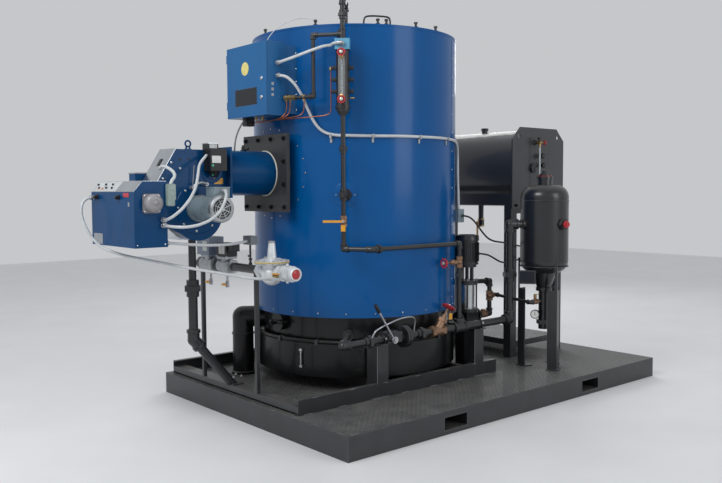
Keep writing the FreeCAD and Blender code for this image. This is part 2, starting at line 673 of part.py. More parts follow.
guard_bars = [rod(side_of_column(z, S.glass_out, -26), sideways, 52, 4)
              for z in (S.glass_low - 4, S.glass_high + 4)]
guard_rods = [rod(side_of_column(S.glass_low - 6, S.glass_out, side * 24), Z_WAY,
                  S.glass_high - S.glass_low + 12, 3) for side in (-1, 1)]
chamber = fuse(
    rod(column_at(S.column_low), Z_WAY, S.column_top - S.column_low, S.column_radius),
    rod(column_at(S.column_low + 16), Z_WAY, 20, S.column_radius + 7),
    cone(column_at(S.column_low - 30), Z_WAY, 31, S.column_pipe + 8, S.column_radius),
    box(side_of_column(S.column_top - 1, -40, -50), 80, 100, S.probe_tall, Rotation(Z_WAY, column_angle)),
    *[piece for z in (2440, 2360, 2280) for side in (-1, 1) for piece in test_cock(z, side)])
glass_frame = fuse(*glass_valve(S.glass_low, Z_WAY), *glass_valve(S.glass_high, -Z_WAY),
                   *guard_bars, *guard_rods)
node("water_column", fuse(chamber, glass_frame))
node("gauge_glass", rod(side_of_column(S.glass_low + 34, S.glass_out, 0), Z_WAY,
                        S.glass_high - S.glass_low - 68, 8))


def handwheel(label, centre, way, radius, thick, spokes=5):
    """A rim on spokes round a hub."""
    way = Vector(way).normalize()
    turn = facing(way)
    spoke_ways = [turn.multVec(flat_way(360 / spokes * k)) for k in range(spokes)]
    hub_start = tuple(vec(centre) - way * amount(thick) * 1.5)
    return node(label, fuse(
        ring(centre, way, radius - thick, thick), rod(hub_start, way, thick * 3, radius * 0.28),
        *[rod(centre, w, radius - thick, thick * 0.7) for w in spoke_ways]))


handwheel("gauge_handwheel_low", side_of_column(S.glass_low, S.wheel_out, 0), outwards, S.wheel_radius,
          S.wheel_thick)
handwheel("gauge_handwheel_high", side_of_column(S.glass_high, S.wheel_out, 0), outwards, S.wheel_radius,
          S.wheel_thick)

# Steam riser from the column over the jacket's edge, and the loop down to the controls manifold.
riser = [column_at(S.column_top + S.probe_tall - 1), column_at(S.riser_top),
         column_at(S.riser_top, S.jacket_radius - 90), column_at(cover_top, S.jacket_radius - 90)]
loop = [column_at(S.riser_tee), (-1262, -262, S.riser_tee), (-1262, -262, 2252), (-1318, -118, 2252)]
manifold_way = (vec(loop[3]) - vec(loop[2])).normalize()
node("column_riser", fuse(
    *runs(riser, S.column_pipe), *bends(riser, S.column_pipe),
    *fitting(column_at(S.riser_tee), S.column_pipe, Z_WAY, -Z_WAY, vec(loop[1]) - vec(loop[0])),
    *union(column_at(2800), Z_WAY, S.column_pipe), *runs(loop, S.loop_pipe), *bends(loop, S.loop_pipe),
    nut(loop[3], manifold_way, 20, 17), rod(loop[3], manifold_way, 86, 12),
    *[nut((loop[3][0] + manifold_way.x * d, loop[3][1] + manifold_way.y * d, 2240), Z_WAY, 34, 13)
      for d in (36, 66)]))


# ---- column drain down to the blowdown line ------------------------------------------------------

S.add(line_y=-600, line_z=565, drain_z=1200, drain_valve=1392, drain_x=-152, drain_turn_x=-1029,
      drain_tee=1574, gate_z=1062, drain_union=963)
drain = [column_at(S.column_low - 30), column_at(S.drain_z), (S.drain_turn_x, S.line_y, S.drain_z),
         (S.drain_x, S.line_y, S.drain_z), (S.drain_x, S.line_y, S.line_z + 64)]
arm = cut(fuse(rod(column_at(S.drain_tee, S.jacket_radius - 20), outwards, 155, S.column_pipe),
               cone(column_at(S.drain_tee, S.jacket_radius - 20), outwards, 34, 52, 42)),
          rod((*boiler, 1400), Z_WAY, 400, S.jacket_radius))
node("column_drain_pipe", fuse(
    arm, *runs(drain, S.column_pipe), *bends(drain, S.column_pipe),
    *fitting(column_at(S.drain_tee), S.column_pipe, Z_WAY, -Z_WAY, outwards),
    nut(side_of_column(S.drain_tee, 30, 0), outwards, 24, 17), *union(column_at(1889), Z_WAY, S.column_pipe),
    *union((S.drain_turn_x + 62, S.line_y, S.drain_z), X_WAY, S.column_pipe),
    *union((S.drain_x, S.line_y, S.drain_union), Z_WAY, S.column_pipe)))

S.add(ball_body=24, lever_pin_out=44, gate_wheel=35, gate_wheel_x=-318)
drain_ball_valve = cut(fuse(
    nut(column_at(S.drain_valve - 38), Z_WAY, 22, S.ball_body), nut(column_at(S.drain_valve + 16), Z_WAY, 22, S.ball_body),
    ball(column_at(S.drain_valve), S.ball_body + 1), rod(column_at(S.drain_valve), outwards, S.lever_pin_out - 4, 8)),
    rod(column_at(S.drain_valve - 60), Z_WAY, 120, S.column_pipe))
lever_turn = Rotation(-sideways, Z_WAY, outwards, "XYZ")
node("drain_valve_lever", fuse(
    box(side_of_column(S.drain_valve - 8, S.lever_pin_out, 10), 150, 16, 4, lever_turn),
    rod(side_of_column(S.drain_valve, S.lever_pin_out - 3, 0), outwards, 12, 10)))
gate = (S.drain_x, S.line_y, S.gate_z)
gate_valve = cut(fuse(
    nut((*gate[:2], S.gate_z - 42), Z_WAY, 26, 25), nut((*gate[:2], S.gate_z + 16), Z_WAY, 26, 25),
    ball(gate, 25), rod(gate, -X_WAY, 58, 17), nut((S.drain_x - 52, *gate[1:]), -X_WAY, 22, 21),
    rod((S.drain_x - 52, *gate[1:]), -X_WAY, 100, 6)),
    rod((*gate[:2], S.gate_z - 60), Z_WAY, 120, S.column_pipe))
handwheel("gate_valve_handwheel", (S.gate_wheel_x, S.line_y, S.gate_z), -X_WAY, S.gate_wheel, 5)


# ---- blowdown line -------------------------------------------------------------------------------

S.add(small_line=24, big_line=29, line_start=-1290, quick_x=-864, quick_pin=-905, disc_x=-728, y_valve_x=-392,
      line_end=442, line_rise=1328)
line = (S.line_y, S.line_z)
stub_angle = math.degrees(math.atan2(amount(S.line_y - S.boiler_y), amount(S.line_start - S.boiler_x)))
blow_small = [round_boiler(stub_angle, 730, S.line_z), (S.line_start, *line), (S.y_valve_x, *line)]
blow_big = [(S.y_valve_x, *line), (S.line_end, *line), (S.line_end, S.line_y, S.line_rise)]
S.add(sep_x=730, sep_y=-720, sep_radius=192)
sep = (S.sep_x, S.sep_y)
inlet_way = (vec((*sep, 0)) - vec((S.line_end, S.line_y, 0))).normalize()
inlet_reach = (vec((*sep, 0)) - vec((S.line_end, S.line_y, 0))).Length - 210
inlet_end = (S.line_end + inlet_way.x * inlet_reach, S.line_y + inlet_way.y * inlet_reach, S.line_rise)
quick_body = cut(fuse(
    box((S.quick_x - 62, S.line_y - 48, S.line_z - 22), 134, 96, 72),
    rod((S.disc_x - 26, *line), X_WAY, 20, 78), rod((S.disc_x - 6, *line), X_WAY, 4, 50),
    rod((S.disc_x - 2, *line), X_WAY, 20, 78),
    rod((S.quick_x + 60, *line), X_WAY, 60, 40), rod((S.disc_x + 16, *line), X_WAY, 70, 36),
    rod((S.quick_pin, S.line_y, S.line_z + 8), -Y_WAY, 81, 20)),
    rod((S.quick_x - 100, *line), X_WAY, 360, S.small_line - 2))
node("blowdown_pipe", group(
    cut(fuse(*runs(blow_small, S.small_line), *bends(blow_small, S.small_line), quick_body,
             rod(round_boiler(stub_angle, 730, S.line_z), flat_way(stub_angle), 48, S.small_line * 1.6),
             *union((-1060, *line), X_WAY, S.small_line), *union((-560, *line), X_WAY, S.small_line)),
        rod((*boiler, S.base_top), Z_WAY, vessel_tall, S.vessel_radius)),
    fuse(*runs([(S.y_valve_x + 40, *line), *blow_big[1:], inlet_end], S.big_line),
         *bends([*blow_big, inlet_end], S.big_line), *fitting((S.drain_x, *line), S.big_line, X_WAY, -X_WAY, Z_WAY),
         *union((S.line_end, S.line_y, 925), Z_WAY, S.big_line))))

S.add(quick_lever=305, quick_lean=34, quick_out=90)
lean = math.radians(amount(S.quick_lean))
lever_way = Vector(-math.sin(lean), 0, math.cos(lean))
lever_foot = (S.quick_pin, S.line_y - S.quick_out, S.line_z + 8)
node("quick_valve_lever", fuse(
    rod(lever_foot, lever_way, S.quick_lever, 7), rod(lever_foot, -Y_WAY, 14, 24),
    rod((S.quick_pin, S.line_y - S.quick_out + 5, S.line_z + 8), -Y_WAY, 22, 14),
    rod(tuple(vec(lever_foot) + lever_way * 250), lever_way, 62, 10)))
y_way = Vector(0.6, 0, 0.8)
y_body = (S.y_valve_x, *line)


def along_y(distance):
    return tuple(vec(y_body) + y_way * distance)


y_valve = cut(fuse(
    nut((S.y_valve_x - 66, *line), X_WAY, 30, 42), nut((S.y_valve_x + 40, *line), X_WAY, 30, 42),
    rod((S.y_valve_x - 50, *line), X_WAY, 104, 36), rod(y_body, y_way, 96, 30), nut(along_y(76), y_way, 26, 38),
    rod(along_y(100), y_way, 34, 18), rod(along_y(100), y_way, 92, 7)),
    rod((S.y_valve_x - 90, *line), X_WAY, 90, S.small_line), rod((S.y_valve_x + 40, *line), X_WAY, 50, S.big_line))
handwheel("y_valve_handwheel", along_y(206), y_way, 46, 6, 6)


def post(x, pipe):
    """A capped square post, the plate that the blowdown line lies on, and its clamp."""
    middle = x + S.post_wide / 2
    shelf = box((x + 20, S.rail_near - 42, S.line_z - pipe - 7), S.post_wide - 40, 62, 7)
    clamp = ring((middle, *line), X_WAY, pipe + 5, 4)
    return fuse(post_block(x), shelf, clamp)


node("support_posts", group(post(S.post_burner, S.small_line), post(S.post_tank, S.big_line)))


# ---- blowdown separator ----------------------------------------------------------------------------

S.add(sep_low=930, sep_top=1640, sep_fillet=100, leg_size=76, leg_sheet=7, leg_out=206, leg_foot_thick=9,
      leg_top=1050, drain_radius=42, drain_low=470, sep_weld_low=985, sep_weld_high=1512, drain_gauge=598)
sep_round = rounded(rod((*sep, S.sep_low), Z_WAY, S.sep_top - S.sep_low, S.sep_radius), S.sep_fillet,
                    lambda edge: isinstance(edge.Curve, Part.Circle))
side_way = flat_way(-97)


def sep_side(way, out, z):
    spot = vec((*sep, z)) + way * amount(out)
    return (spot.x, spot.y, spot.z)


gauge_way, dial_way = flat_way(-188), flat_way(-150)
gauge_at = vec(sep_side(gauge_way, 92, S.drain_gauge))
node("separator_vessel", fuse(
    sep_round, ring((*sep, S.sep_weld_low), Z_WAY, S.sep_radius - 1, 5),
    ring((*sep, S.sep_weld_high), Z_WAY, S.sep_radius - 1, 5),
    rod((*sep, S.sep_top - 6), Z_WAY, 52, 60), rod((*sep, S.sep_top + 44), Z_WAY, 26, 66),
    rod((*sep, S.sep_top + 60), Z_WAY, 22, 52), cone((*sep, S.sep_low - 120), Z_WAY, 126, 56, 104),
    rod(sep_side(side_way, 170, S.line_rise), side_way, 54, 40),
    nut(sep_side(side_way, 200, S.line_rise), side_way, 22, 47),
    rod(sep_side(side_way, 210, S.line_rise), side_way, 22, 27),
    rod(sep_side(-inlet_way, 170, S.line_rise), -inlet_way, 40, 42),
    rod((*sep, S.drain_low), Z_WAY, S.sep_low - 118 - S.drain_low, S.drain_radius),
    rod((*sep, S.sep_low - 148), Z_WAY, 28, 64), nut((*sep, S.drain_low + 40), Z_WAY, 34, 58),
    rod(sep_side(gauge_way, 20, S.drain_gauge), gauge_way, 76, 7), rod(tuple(gauge_at), dial_way, 28, 35)))


def angle_leg(degrees):
    """An angle-section leg with its corner outwards, on a foot pad."""
    corner = vec((*sep, 0)) + flat_way(degrees) * amount(S.leg_out)
    turn = Rotation(Z_WAY, degrees + 135)
    foot_top = deck_top + S.leg_foot_thick
    outer = box((corner.x, corner.y, foot_top - 1), S.leg_size, S.leg_size, S.leg_top - foot_top + 1, turn)
    inner = corner + turn.multVec(Vector(amount(S.leg_sheet), amount(S.leg_sheet), 0))
    hollow = box((inner.x, inner.y, 100), 100, 100, 1100, turn)
    pad = corner + turn.multVec(Vector(-8, -8, 0))
    return fuse(cut(outer, hollow), box((pad.x, pad.y, deck_top), 92, 92, S.leg_foot_thick, turn))


legs = cut(group(*[angle_leg(a) for a in (-113, 127, 7)]),
           rod((*sep, S.sep_low - 130), Z_WAY, 300, S.sep_radius),
           ring((*sep, S.sep_weld_low), Z_WAY, S.sep_radius - 1, 5))
S.add(tag_x=478.8, tag_y=-659, tag_low=850, tag_wide=135, tag_tall=110, tag_sheet=5, tag_turn=-53.3)
tag_turn, tag_arm = [Rotation(Z_WAY, amount(S.tag_turn) + more) for more in (0, 90)]
node("separator_legs", fuse(
    legs, box((S.tag_x, S.tag_y, S.tag_low), S.tag_wide, S.tag_sheet, S.tag_tall, tag_turn),
    box((S.tag_x + 20, S.tag_y - 26, S.tag_low + 5), 150, S.tag_sheet, 40, tag_arm)))


# ---- feedwater tank on its stand -------------------------------------------------------------------

S.add(tank_x=1115, tank_z=1790, tank_radius=335, tank_wall=8, tank_near=-366, tank_far=1000,
      end_thick=12, end_wide=712, end_low=1443, end_high=2136, end_chamfer=105, beam_low=1470,
      beam_deep=101.6, beam_flange=50, stand_leg=76.2, shelf_low=252, shelf_rim=50, lift_hole=17,
      tank_drain_y=291, tank_drain_low=1330)
tank_long = S.tank_far - S.tank_near - S.end_thick * 2
inside_near, inside_far = S.tank_near + S.end_thick, S.tank_far - S.end_thick
tank_drain = (S.tank_x, S.tank_drain_y)
node("tank_shell", fuse(
    cut(rod((S.tank_x, inside_near, S.tank_z), Y_WAY, tank_long, S.tank_radius),
        rod((S.tank_x, inside_near - 5, S.tank_z), Y_WAY, tank_long + 10, S.tank_radius - S.tank_wall)),
    *[piece for y in (250, 760) for piece in (
        rod((S.tank_x, y, S.tank_z + S.tank_radius - 6), Z_WAY, 42, 26),
        nut((S.tank_x, y, S.tank_z + S.tank_radius + 20), Z_WAY, 24, 34))],
    rod((*tank_drain, S.tank_drain_low), Z_WAY, S.tank_z - S.tank_radius + 6 - S.tank_drain_low, 24),
    nut((*tank_drain, S.tank_drain_low - 60), Z_WAY, 62, 30),
    rod((*tank_drain, S.tank_drain_low - 30), -X_WAY, 44, 9)))
node("tank_drain_lever", fuse(
    rod((S.tank_x - 44.5, S.tank_drain_y, S.tank_drain_low - 30), -X_WAY, 10, 12),
    box((S.tank_x - 53, S.tank_drain_y - 9, S.tank_drain_low - 150), 5, 18, 124)))
end_x, end_tall = S.tank_x - S.end_wide / 2, S.end_high - S.end_low
end_outline = [(0, 0), (S.end_wide, 0), (S.end_wide, end_tall - S.end_chamfer),
               (S.end_wide - S.end_chamfer, end_tall), (S.end_chamfer, end_tall),
               (0, end_tall - S.end_chamfer)]


def tank_end(y):
    """An end plate, its top corners cut off, with two lifting holes."""
    plate = padded(end_outline, S.end_thick, (end_x, y + S.end_thick, S.end_low), turn_of(X_WAY, Z_WAY))
    holes = [rod((x, y - 10, S.end_high - 76), Y_WAY, S.end_thick + 20, S.lift_hole)
             for x in (end_x + 88, end_x + S.end_wide - 88)]
    return cut(plate, *holes)


node("tank_ends", group(tank_end(S.tank_near), tank_end(inside_far)))
beam_section = channel_outline(S.beam_deep, S.beam_flange, 5, 7.5)
right_x = end_x + S.end_wide
leg_rows = (inside_near, inside_far - S.stand_leg)
shelf_x, shelf_wide = end_x + S.stand_leg, S.end_wide - S.stand_leg * 2
node("tank_stand", fuse(
    padded(beam_section, tank_long, (end_x, inside_far, S.beam_low), turn_of(X_WAY, Z_WAY)),
    padded(beam_section, tank_long, (right_x, inside_near, S.beam_low), turn_of(-X_WAY, Z_WAY)),
    *[box((x, y, deck_top), S.stand_leg, S.stand_leg, S.beam_low - deck_top + 1)
      for x in (end_x, right_x - S.stand_leg) for y in leg_rows],
    *[box((end_x, y, S.beam_low - 70), S.end_wide, 8, 55) for y in (inside_near, inside_far - 8)],
    box((shelf_x - 1, inside_near, S.shelf_low + S.shelf_rim - 6), shelf_wide + 2, tank_long, 6),
    *[box((shelf_x - 1, y, S.shelf_low), shelf_wide + 2, 6, S.shelf_rim - 5)
      for y in (inside_near, inside_far - 6)],
    *[box((x, inside_near, S.shelf_low), 6, tank_long, S.shelf_rim - 5)
      for x in (shelf_x, shelf_x + shelf_wide - 6)],
    box((right_x - S.stand_leg - 66, inside_near + 8, 1060), 68, 60, 120),
    *[rod((right_x - S.stand_leg - 62, *end), -X_WAY, 18, 11) for end in ((-323, 1130), (-317, 1092))]))

S.add(tank_glass_x=1060, tank_glass_high=2008, tank_glass_low=1560, tank_glass_out=52)
glass_y = S.tank_near - S.tank_glass_out


def tank_glass_valve(z, glass_way):
    return [rod((S.tank_glass_x, S.tank_near, z), -Y_WAY, S.tank_glass_out + 8, 12),
            rod((S.tank_glass_x, glass_y, z), glass_way, 40, 10),
            nut((S.tank_glass_x - 16, glass_y, z), X_WAY, 34, 15), rod((S.tank_glass_x, glass_y, z), X_WAY, 56, 5)]


node("tank_gauge", fuse(
    *tank_glass_valve(S.tank_glass_high, -Z_WAY), *tank_glass_valve(S.tank_glass_low, Z_WAY),
    rod((S.tank_glass_x, glass_y, S.tank_glass_low + 30), Z_WAY, S.tank_glass_high - S.tank_glass_low - 60, 7)))
handwheel("tank_gauge_handwheel", (S.tank_glass_x + 66, glass_y, S.tank_glass_high), X_WAY, 20, 3.5)


# ---- feed pump ---------------------------------------------------------------------------------------

S.add(pump_x=200, pump_y=-360, pump_motor=92, pump_motor_low=1008, pump_top=1242, pump_sleeve=62,
      sleeve_low=651, sleeve_high=846, base_low=516, base_port=582, pump_pipe=19, check_x=398, up_x=476,
      arm_z=850, feed_z=730)
pump = (S.pump_x, S.pump_y)
node("pump_motor", fuse(
    rod((*pump, S.pump_motor_low), Z_WAY, S.pump_top - S.pump_motor_low - 40, S.pump_motor - 3),
    rod((*pump, S.pump_top - 46), Z_WAY, 46, S.pump_motor + 2),
    rod((*pump, S.pump_motor_low), Z_WAY, 12, S.pump_motor),
    rod((S.pump_x + 57, S.pump_y - 62, 1092), Vector(0.674, -0.739, 0), 17, 11)))
node("pump_switch_box", cut(
    fuse(box((68, -384, 1352), 62, 62, 96), rod((108, -384, 1400), -Y_WAY, 14, 11)),
    rod((*boiler, 1300), Z_WAY, 300, S.jacket_radius)))


def round_pump(radius, angle, z):
    return (S.pump_x + radius * math.cos(math.radians(angle)), S.pump_y + radius * math.sin(math.radians(angle)), z)


node("pump_body", fuse(
    rod((*pump, S.pump_motor_low - 22), Z_WAY, 22, 76), rod((*pump, S.sleeve_high), Z_WAY, 34, 88),
    *[rod(round_pump(54, a, S.sleeve_high + 30), Z_WAY, 112, 13) for a in (0, 90, 180, 270)],
    rod((*pump, S.sleeve_high + 30), Z_WAY, 112, 14),
    *[rod(round_pump(76, a, S.sleeve_low - 1), Z_WAY, S.sleeve_high - S.sleeve_low + 2, 7)
      for a in (45, 135, 225, 315)],
    rod((*pump, S.sleeve_low - 26), Z_WAY, 26, 90),
    box((S.pump_x - 64, S.pump_y - 60, S.base_low), 136, 116, 112),
    rod((S.pump_x - 104, S.pump_y, S.base_port), X_WAY, 208, 34),
    rod((S.pump_x + 92, S.pump_y, S.base_port), X_WAY, 20, 62),
    rod((S.pump_x - 112, S.pump_y, S.base_port), X_WAY, 20, 50),
    box((S.pump_x - 75, S.pump_y - 80, S.base_low - 14), 170, 136, 16)))
node("pump_sleeve", rod((*pump, S.sleeve_low), Z_WAY, S.sleeve_high - S.sleeve_low, S.pump_sleeve))
node("pump_pedestal", fuse(*[
    box((S.pump_x + x, S.pump_y - 80, deck_top), 12, 136, S.base_low - 14 - deck_top) for x in (-75, 83)],
    box((S.pump_x - 75, S.pump_y - 80, S.base_low - 26), 170, 136, 12),
    box((S.pump_x - 75, S.pump_y - 80, deck_top), 170, 136, 12)))
feed = [(S.pump_x + 112, S.pump_y, S.base_port), (S.up_x, S.pump_y, S.base_port),
        (S.up_x, S.pump_y, S.arm_z), (S.pump_x + 89, S.pump_y, S.arm_z + 12)]
cooling = [(S.up_x, S.pump_y, S.feed_z), (556, S.pump_y, S.feed_z), (556, S.sep_y, S.feed_z - 30),
           (S.sep_x - S.drain_radius, S.sep_y, S.feed_z - 30)]
node("feed_pipework", fuse(*runs(feed, S.pump_pipe), *bends(feed, S.pump_pipe),
                           *runs(cooling, 13), *bends(cooling, 13)))
check_valve = cut(fuse(
    nut((S.check_x - 36, S.pump_y, S.base_port), X_WAY, 24, 30),
    nut((S.check_x + 14, S.pump_y, S.base_port), X_WAY, 22, 30), ball((S.check_x, S.pump_y, S.base_port), 31),
    rod((S.check_x, S.pump_y, S.base_port), Z_WAY, 40, 20)),
    rod((S.check_x - 60, S.pump_y, S.base_port), X_WAY, 120, S.pump_pipe))
feed_tee = cut(fuse(
    nut((S.up_x, S.pump_y, S.feed_z - 40), Z_WAY, 22, 29), nut((S.up_x, S.pump_y, S.feed_z + 18), Z_WAY, 22, 29),
    ball((S.up_x, S.pump_y, S.feed_z), 29), nut((S.up_x + 20, S.pump_y, S.feed_z), X_WAY, 26, 26)),
    rod((S.up_x, S.pump_y, S.feed_z - 60), Z_WAY, 120, S.pump_pipe),
    rod((S.up_x, S.pump_y, S.feed_z), X_WAY, 80, 13))
cooling_valve = cut(fuse(
    nut((586, S.sep_y, S.feed_z - 30), X_WAY, 22, 22), nut((626, S.sep_y, S.feed_z - 30), X_WAY, 22, 22),
    ball((617, S.sep_y, S.feed_z - 30), 21), rod((617, S.sep_y, S.feed_z - 30), Z_WAY, 42, 12)),
    rod((570, S.sep_y, S.feed_z - 30), X_WAY, 100, 13))
node("bronze_valves", group(drain_ball_valve, gate_valve, y_valve, check_valve, feed_tee, cooling_valve))


# ---- conduits and cables -------------------------------------------------------------------------------

S.add(conduit=9.5, wide_conduit=10.5, cable=7)
burner_routes = [
    [(-2318, -81, 1425), (-2318, -138, 1429), (-2300, -186, 1450), (-2256, -212, 1492), (-2190, -200, 1556),
     (-2116, -140, 1626), (-2050, -52, 1704), (-1990, 34, 1786), (-1906, 84, 1846)],
    [(-2318, -81, 1392), (-2316, -144, 1388), (-2294, -200, 1384), (-2246, -240, 1382), (-2172, -262, 1392),
     (-2080, -266, 1424), (-2000, -252, 1480), (-1948, -222, 1550), (-1916, -184, 1594), (-1908, -132, 1606)],
    [(-2511, 520, 1565), (-2562, 520, 1562), (-2598, 514, 1528), (-2612, 500, 1470), (-2604, 476, 1395),
     (-2576, 438, 1312), (-2528, 376, 1236), (-2440, 265, 1190), (-2300, 100, 1152), (-2130, -90, 1108),
     (-1960, -238, 1068), (-1840, -322, 1042), (-1764, -350, 1032), (-1717, -352, 1030)],
    [(-2286, -30, 1275), (-2230, -30, 1272), (-2140, -36, 1262), (-1990, -50, 1248), (-1840, -62, 1246),
     (-1750, -58, 1254), (-1681, -50, 1262)]]
node("burner_conduits", group(*[
    swept("burner conduit", route, S.conduit) for route in burner_routes]))
cabinet_side = (-1400, low_y.value - 4)
cabinet_routes = [
    [(*cabinet_side, 2496), (-1396, -75, 2500), (-1352, -165, 2524), (-1290, -270, 2560),
     (-1230, -340, 2588), (-1188, -372, 2594)],
    [(*cabinet_side, 2408), *[round_boiler(*spot) for spot in (
        (-159.5, 965, 2400), (-156.5, 930, 2345), (-154.5, 888, 2268), (-153, 862, 2190),
        (-151, 842, 2112), (-148.5, 828, 2050), (-145, 819, 2010), (-140, 816, 1992), (-130, 816, 1988),
        (-118, 816, 1986), (-106, 816, 1988), (-94, 816, 1987), (-82, 816, 1988), (-70, 816, 1987),
        (-58, 816, 1980), (-50.5, 817, 1954), (-45, 819, 1894), (-42, 822, 1795), (-41.5, 824, 1680),
        (-43.5, 826, 1560), (-45.8, 827, 1453))]]]
node("cabinet_conduits", group(*[
    swept("cabinet conduit", route, S.wide_conduit) for route in cabinet_routes]))
node("pump_cable_upper", swept("upper pump cable", [
    (108, -398.5, 1400), (111, -446, 1398), (126, -488, 1372), (156, -512, 1322), (206, -520, 1266),
    (276, -512, 1218), (370, -492, 1190), (490, -464, 1176), (630, -434, 1158), (790, -406, 1128),
    (960, -380, 1110), (1130, -346, 1112), (1240, -326, 1126), (1313, -323, 1130)], S.cable))
node("pump_cable_lower", swept("lower pump cable", [
    (269, -435.4, 1092), (305, -474, 1088), (356, -490, 1064), (430, -484, 1030), (520, -464, 1006),
    (640, -436, 1000), (790, -408, 1012), (960, -380, 1034), (1130, -344, 1062), (1240, -321, 1086),
    (1313, -317, 1092)], S.cable))


# ---- check and write -----------------------------------------------------------------------------------

document.recompute()
faults = [o.Label for o in document.Objects if "Invalid" in o.State or "Error" in o.State]
faults += [n for n, o in nodes.items() if o.Shape.isNull() or not o.Shape.isValid() or not o.Shape.Solids]
if faults:
    raise SystemExit("not built: %s" % ", ".join(faults))
os.makedirs("parts", exist_ok=True)
for label, piece in nodes.items():
    piece.Shape.exportStep("parts/%s.step" % label)
print("%d nodes, %d solids" % (len(nodes), sum(len(o.Shape.Solids) for o in nodes.values())))
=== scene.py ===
from math import cos, radians, sin, sqrt, tau

import bmesh
import bpy
from mathutils import Matrix, Vector


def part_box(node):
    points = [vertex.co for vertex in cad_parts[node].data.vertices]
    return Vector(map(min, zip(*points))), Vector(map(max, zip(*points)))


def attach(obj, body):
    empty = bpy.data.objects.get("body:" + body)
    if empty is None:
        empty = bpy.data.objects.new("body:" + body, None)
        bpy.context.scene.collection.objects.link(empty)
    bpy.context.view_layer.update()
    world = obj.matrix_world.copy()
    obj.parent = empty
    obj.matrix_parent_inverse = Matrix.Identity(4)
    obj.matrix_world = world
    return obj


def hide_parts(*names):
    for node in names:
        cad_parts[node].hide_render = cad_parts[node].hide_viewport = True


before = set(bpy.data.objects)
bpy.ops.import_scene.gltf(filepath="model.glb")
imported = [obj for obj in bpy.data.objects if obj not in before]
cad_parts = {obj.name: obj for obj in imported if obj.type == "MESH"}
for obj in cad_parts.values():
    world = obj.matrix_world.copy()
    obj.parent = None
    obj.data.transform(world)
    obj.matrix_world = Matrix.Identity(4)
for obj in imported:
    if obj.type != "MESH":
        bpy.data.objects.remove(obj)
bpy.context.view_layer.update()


# ---- camera ---------------------------------------------------------------------------------
# A standing viewer at head height, off the burner end's near corner, looking along the package.

EYE = Vector((-4.6963, -4.7739, 1.6078))
YAW, PITCH, ROLL = radians(49.467), radians(3.624), radians(-0.285)
forward = Vector((cos(PITCH) * cos(YAW), cos(PITCH) * sin(YAW), -sin(PITCH)))
level = Vector((sin(YAW), -cos(YAW), 0))
upright = level.cross(forward)
right = level * cos(ROLL) + upright * sin(ROLL)
above = upright * cos(ROLL) - level * sin(ROLL)
camera_data = bpy.data.cameras.new("viewer")
camera_data.sensor_width, camera_data.lens = 36.0, 40.605
camera_data.clip_end = 60
camera = bpy.data.objects.new("viewer", camera_data)
bpy.context.collection.objects.link(camera)
camera.matrix_world = Matrix((
    (right.x, above.x, -forward.x, EYE.x), (right.y, above.y, -forward.y, EYE.y),
    (right.z, above.z, -forward.z, EYE.z), (0, 0, 0, 1)))
bpy.context.scene.camera = camera


# ---- finishes -------------------------------------------------------------------------------
# Every surface is a paint, a metal, a rubber or a plastic. What they share is patchy colour, a
# fine surface grain, dust on what faces up and edges painted paler, partly as wear and partly as a
# painted edge highlight, each sized in millimetres.

def colour(text):
    """An sRGB hex value as the linear colour that a shader takes."""
    parts = [int(text[k:k + 2], 16) / 255 for k in (1, 3, 5)]
    return (*[c / 12.92 if c <= 0.04045 else ((c + 0.055) / 1.055) ** 2.4 for c in parts], 1.0)


def add(tree, kind, inputs=(), **settings):
    """Adds a node: its settings, and each input as a value or as the socket that feeds it."""
    made = tree.nodes.new(kind)
    for name, value in settings.items():
        setattr(made, name, value)
    for key, value in dict(inputs).items():
        if isinstance(value, bpy.types.NodeSocket):
            tree.links.new(value, made.inputs[key])
        else:
            made.inputs[key].default_value = value
    return made


def inside_box(tree, place, low, high):
    """1 inside a box given by two corners in metres, 0 outside."""
    middle, half = (Vector(low) + Vector(high)) / 2, (Vector(high) - Vector(low)) / 2
    moved = add(tree, "ShaderNodeVectorMath", {0: place, 1: middle}, operation="SUBTRACT")
    size = add(tree, "ShaderNodeVectorMath", {0: moved.outputs[0]}, operation="ABSOLUTE")
    past = add(tree, "ShaderNodeVectorMath", {0: size.outputs[0], 1: half}, operation="SUBTRACT")
    axes = add(tree, "ShaderNodeSeparateXYZ", {0: past.outputs[0]})
    wide = add(tree, "ShaderNodeMath", {0: axes.outputs[0], 1: axes.outputs[1]}, operation="MAXIMUM")
    most = add(tree, "ShaderNodeMath", {0: wide.outputs[0], 1: axes.outputs[2]}, operation="MAXIMUM")
    return add(tree, "ShaderNodeMath", {0: most.outputs[0], 1: 0.0}, operation="LESS_THAN").outputs[0]


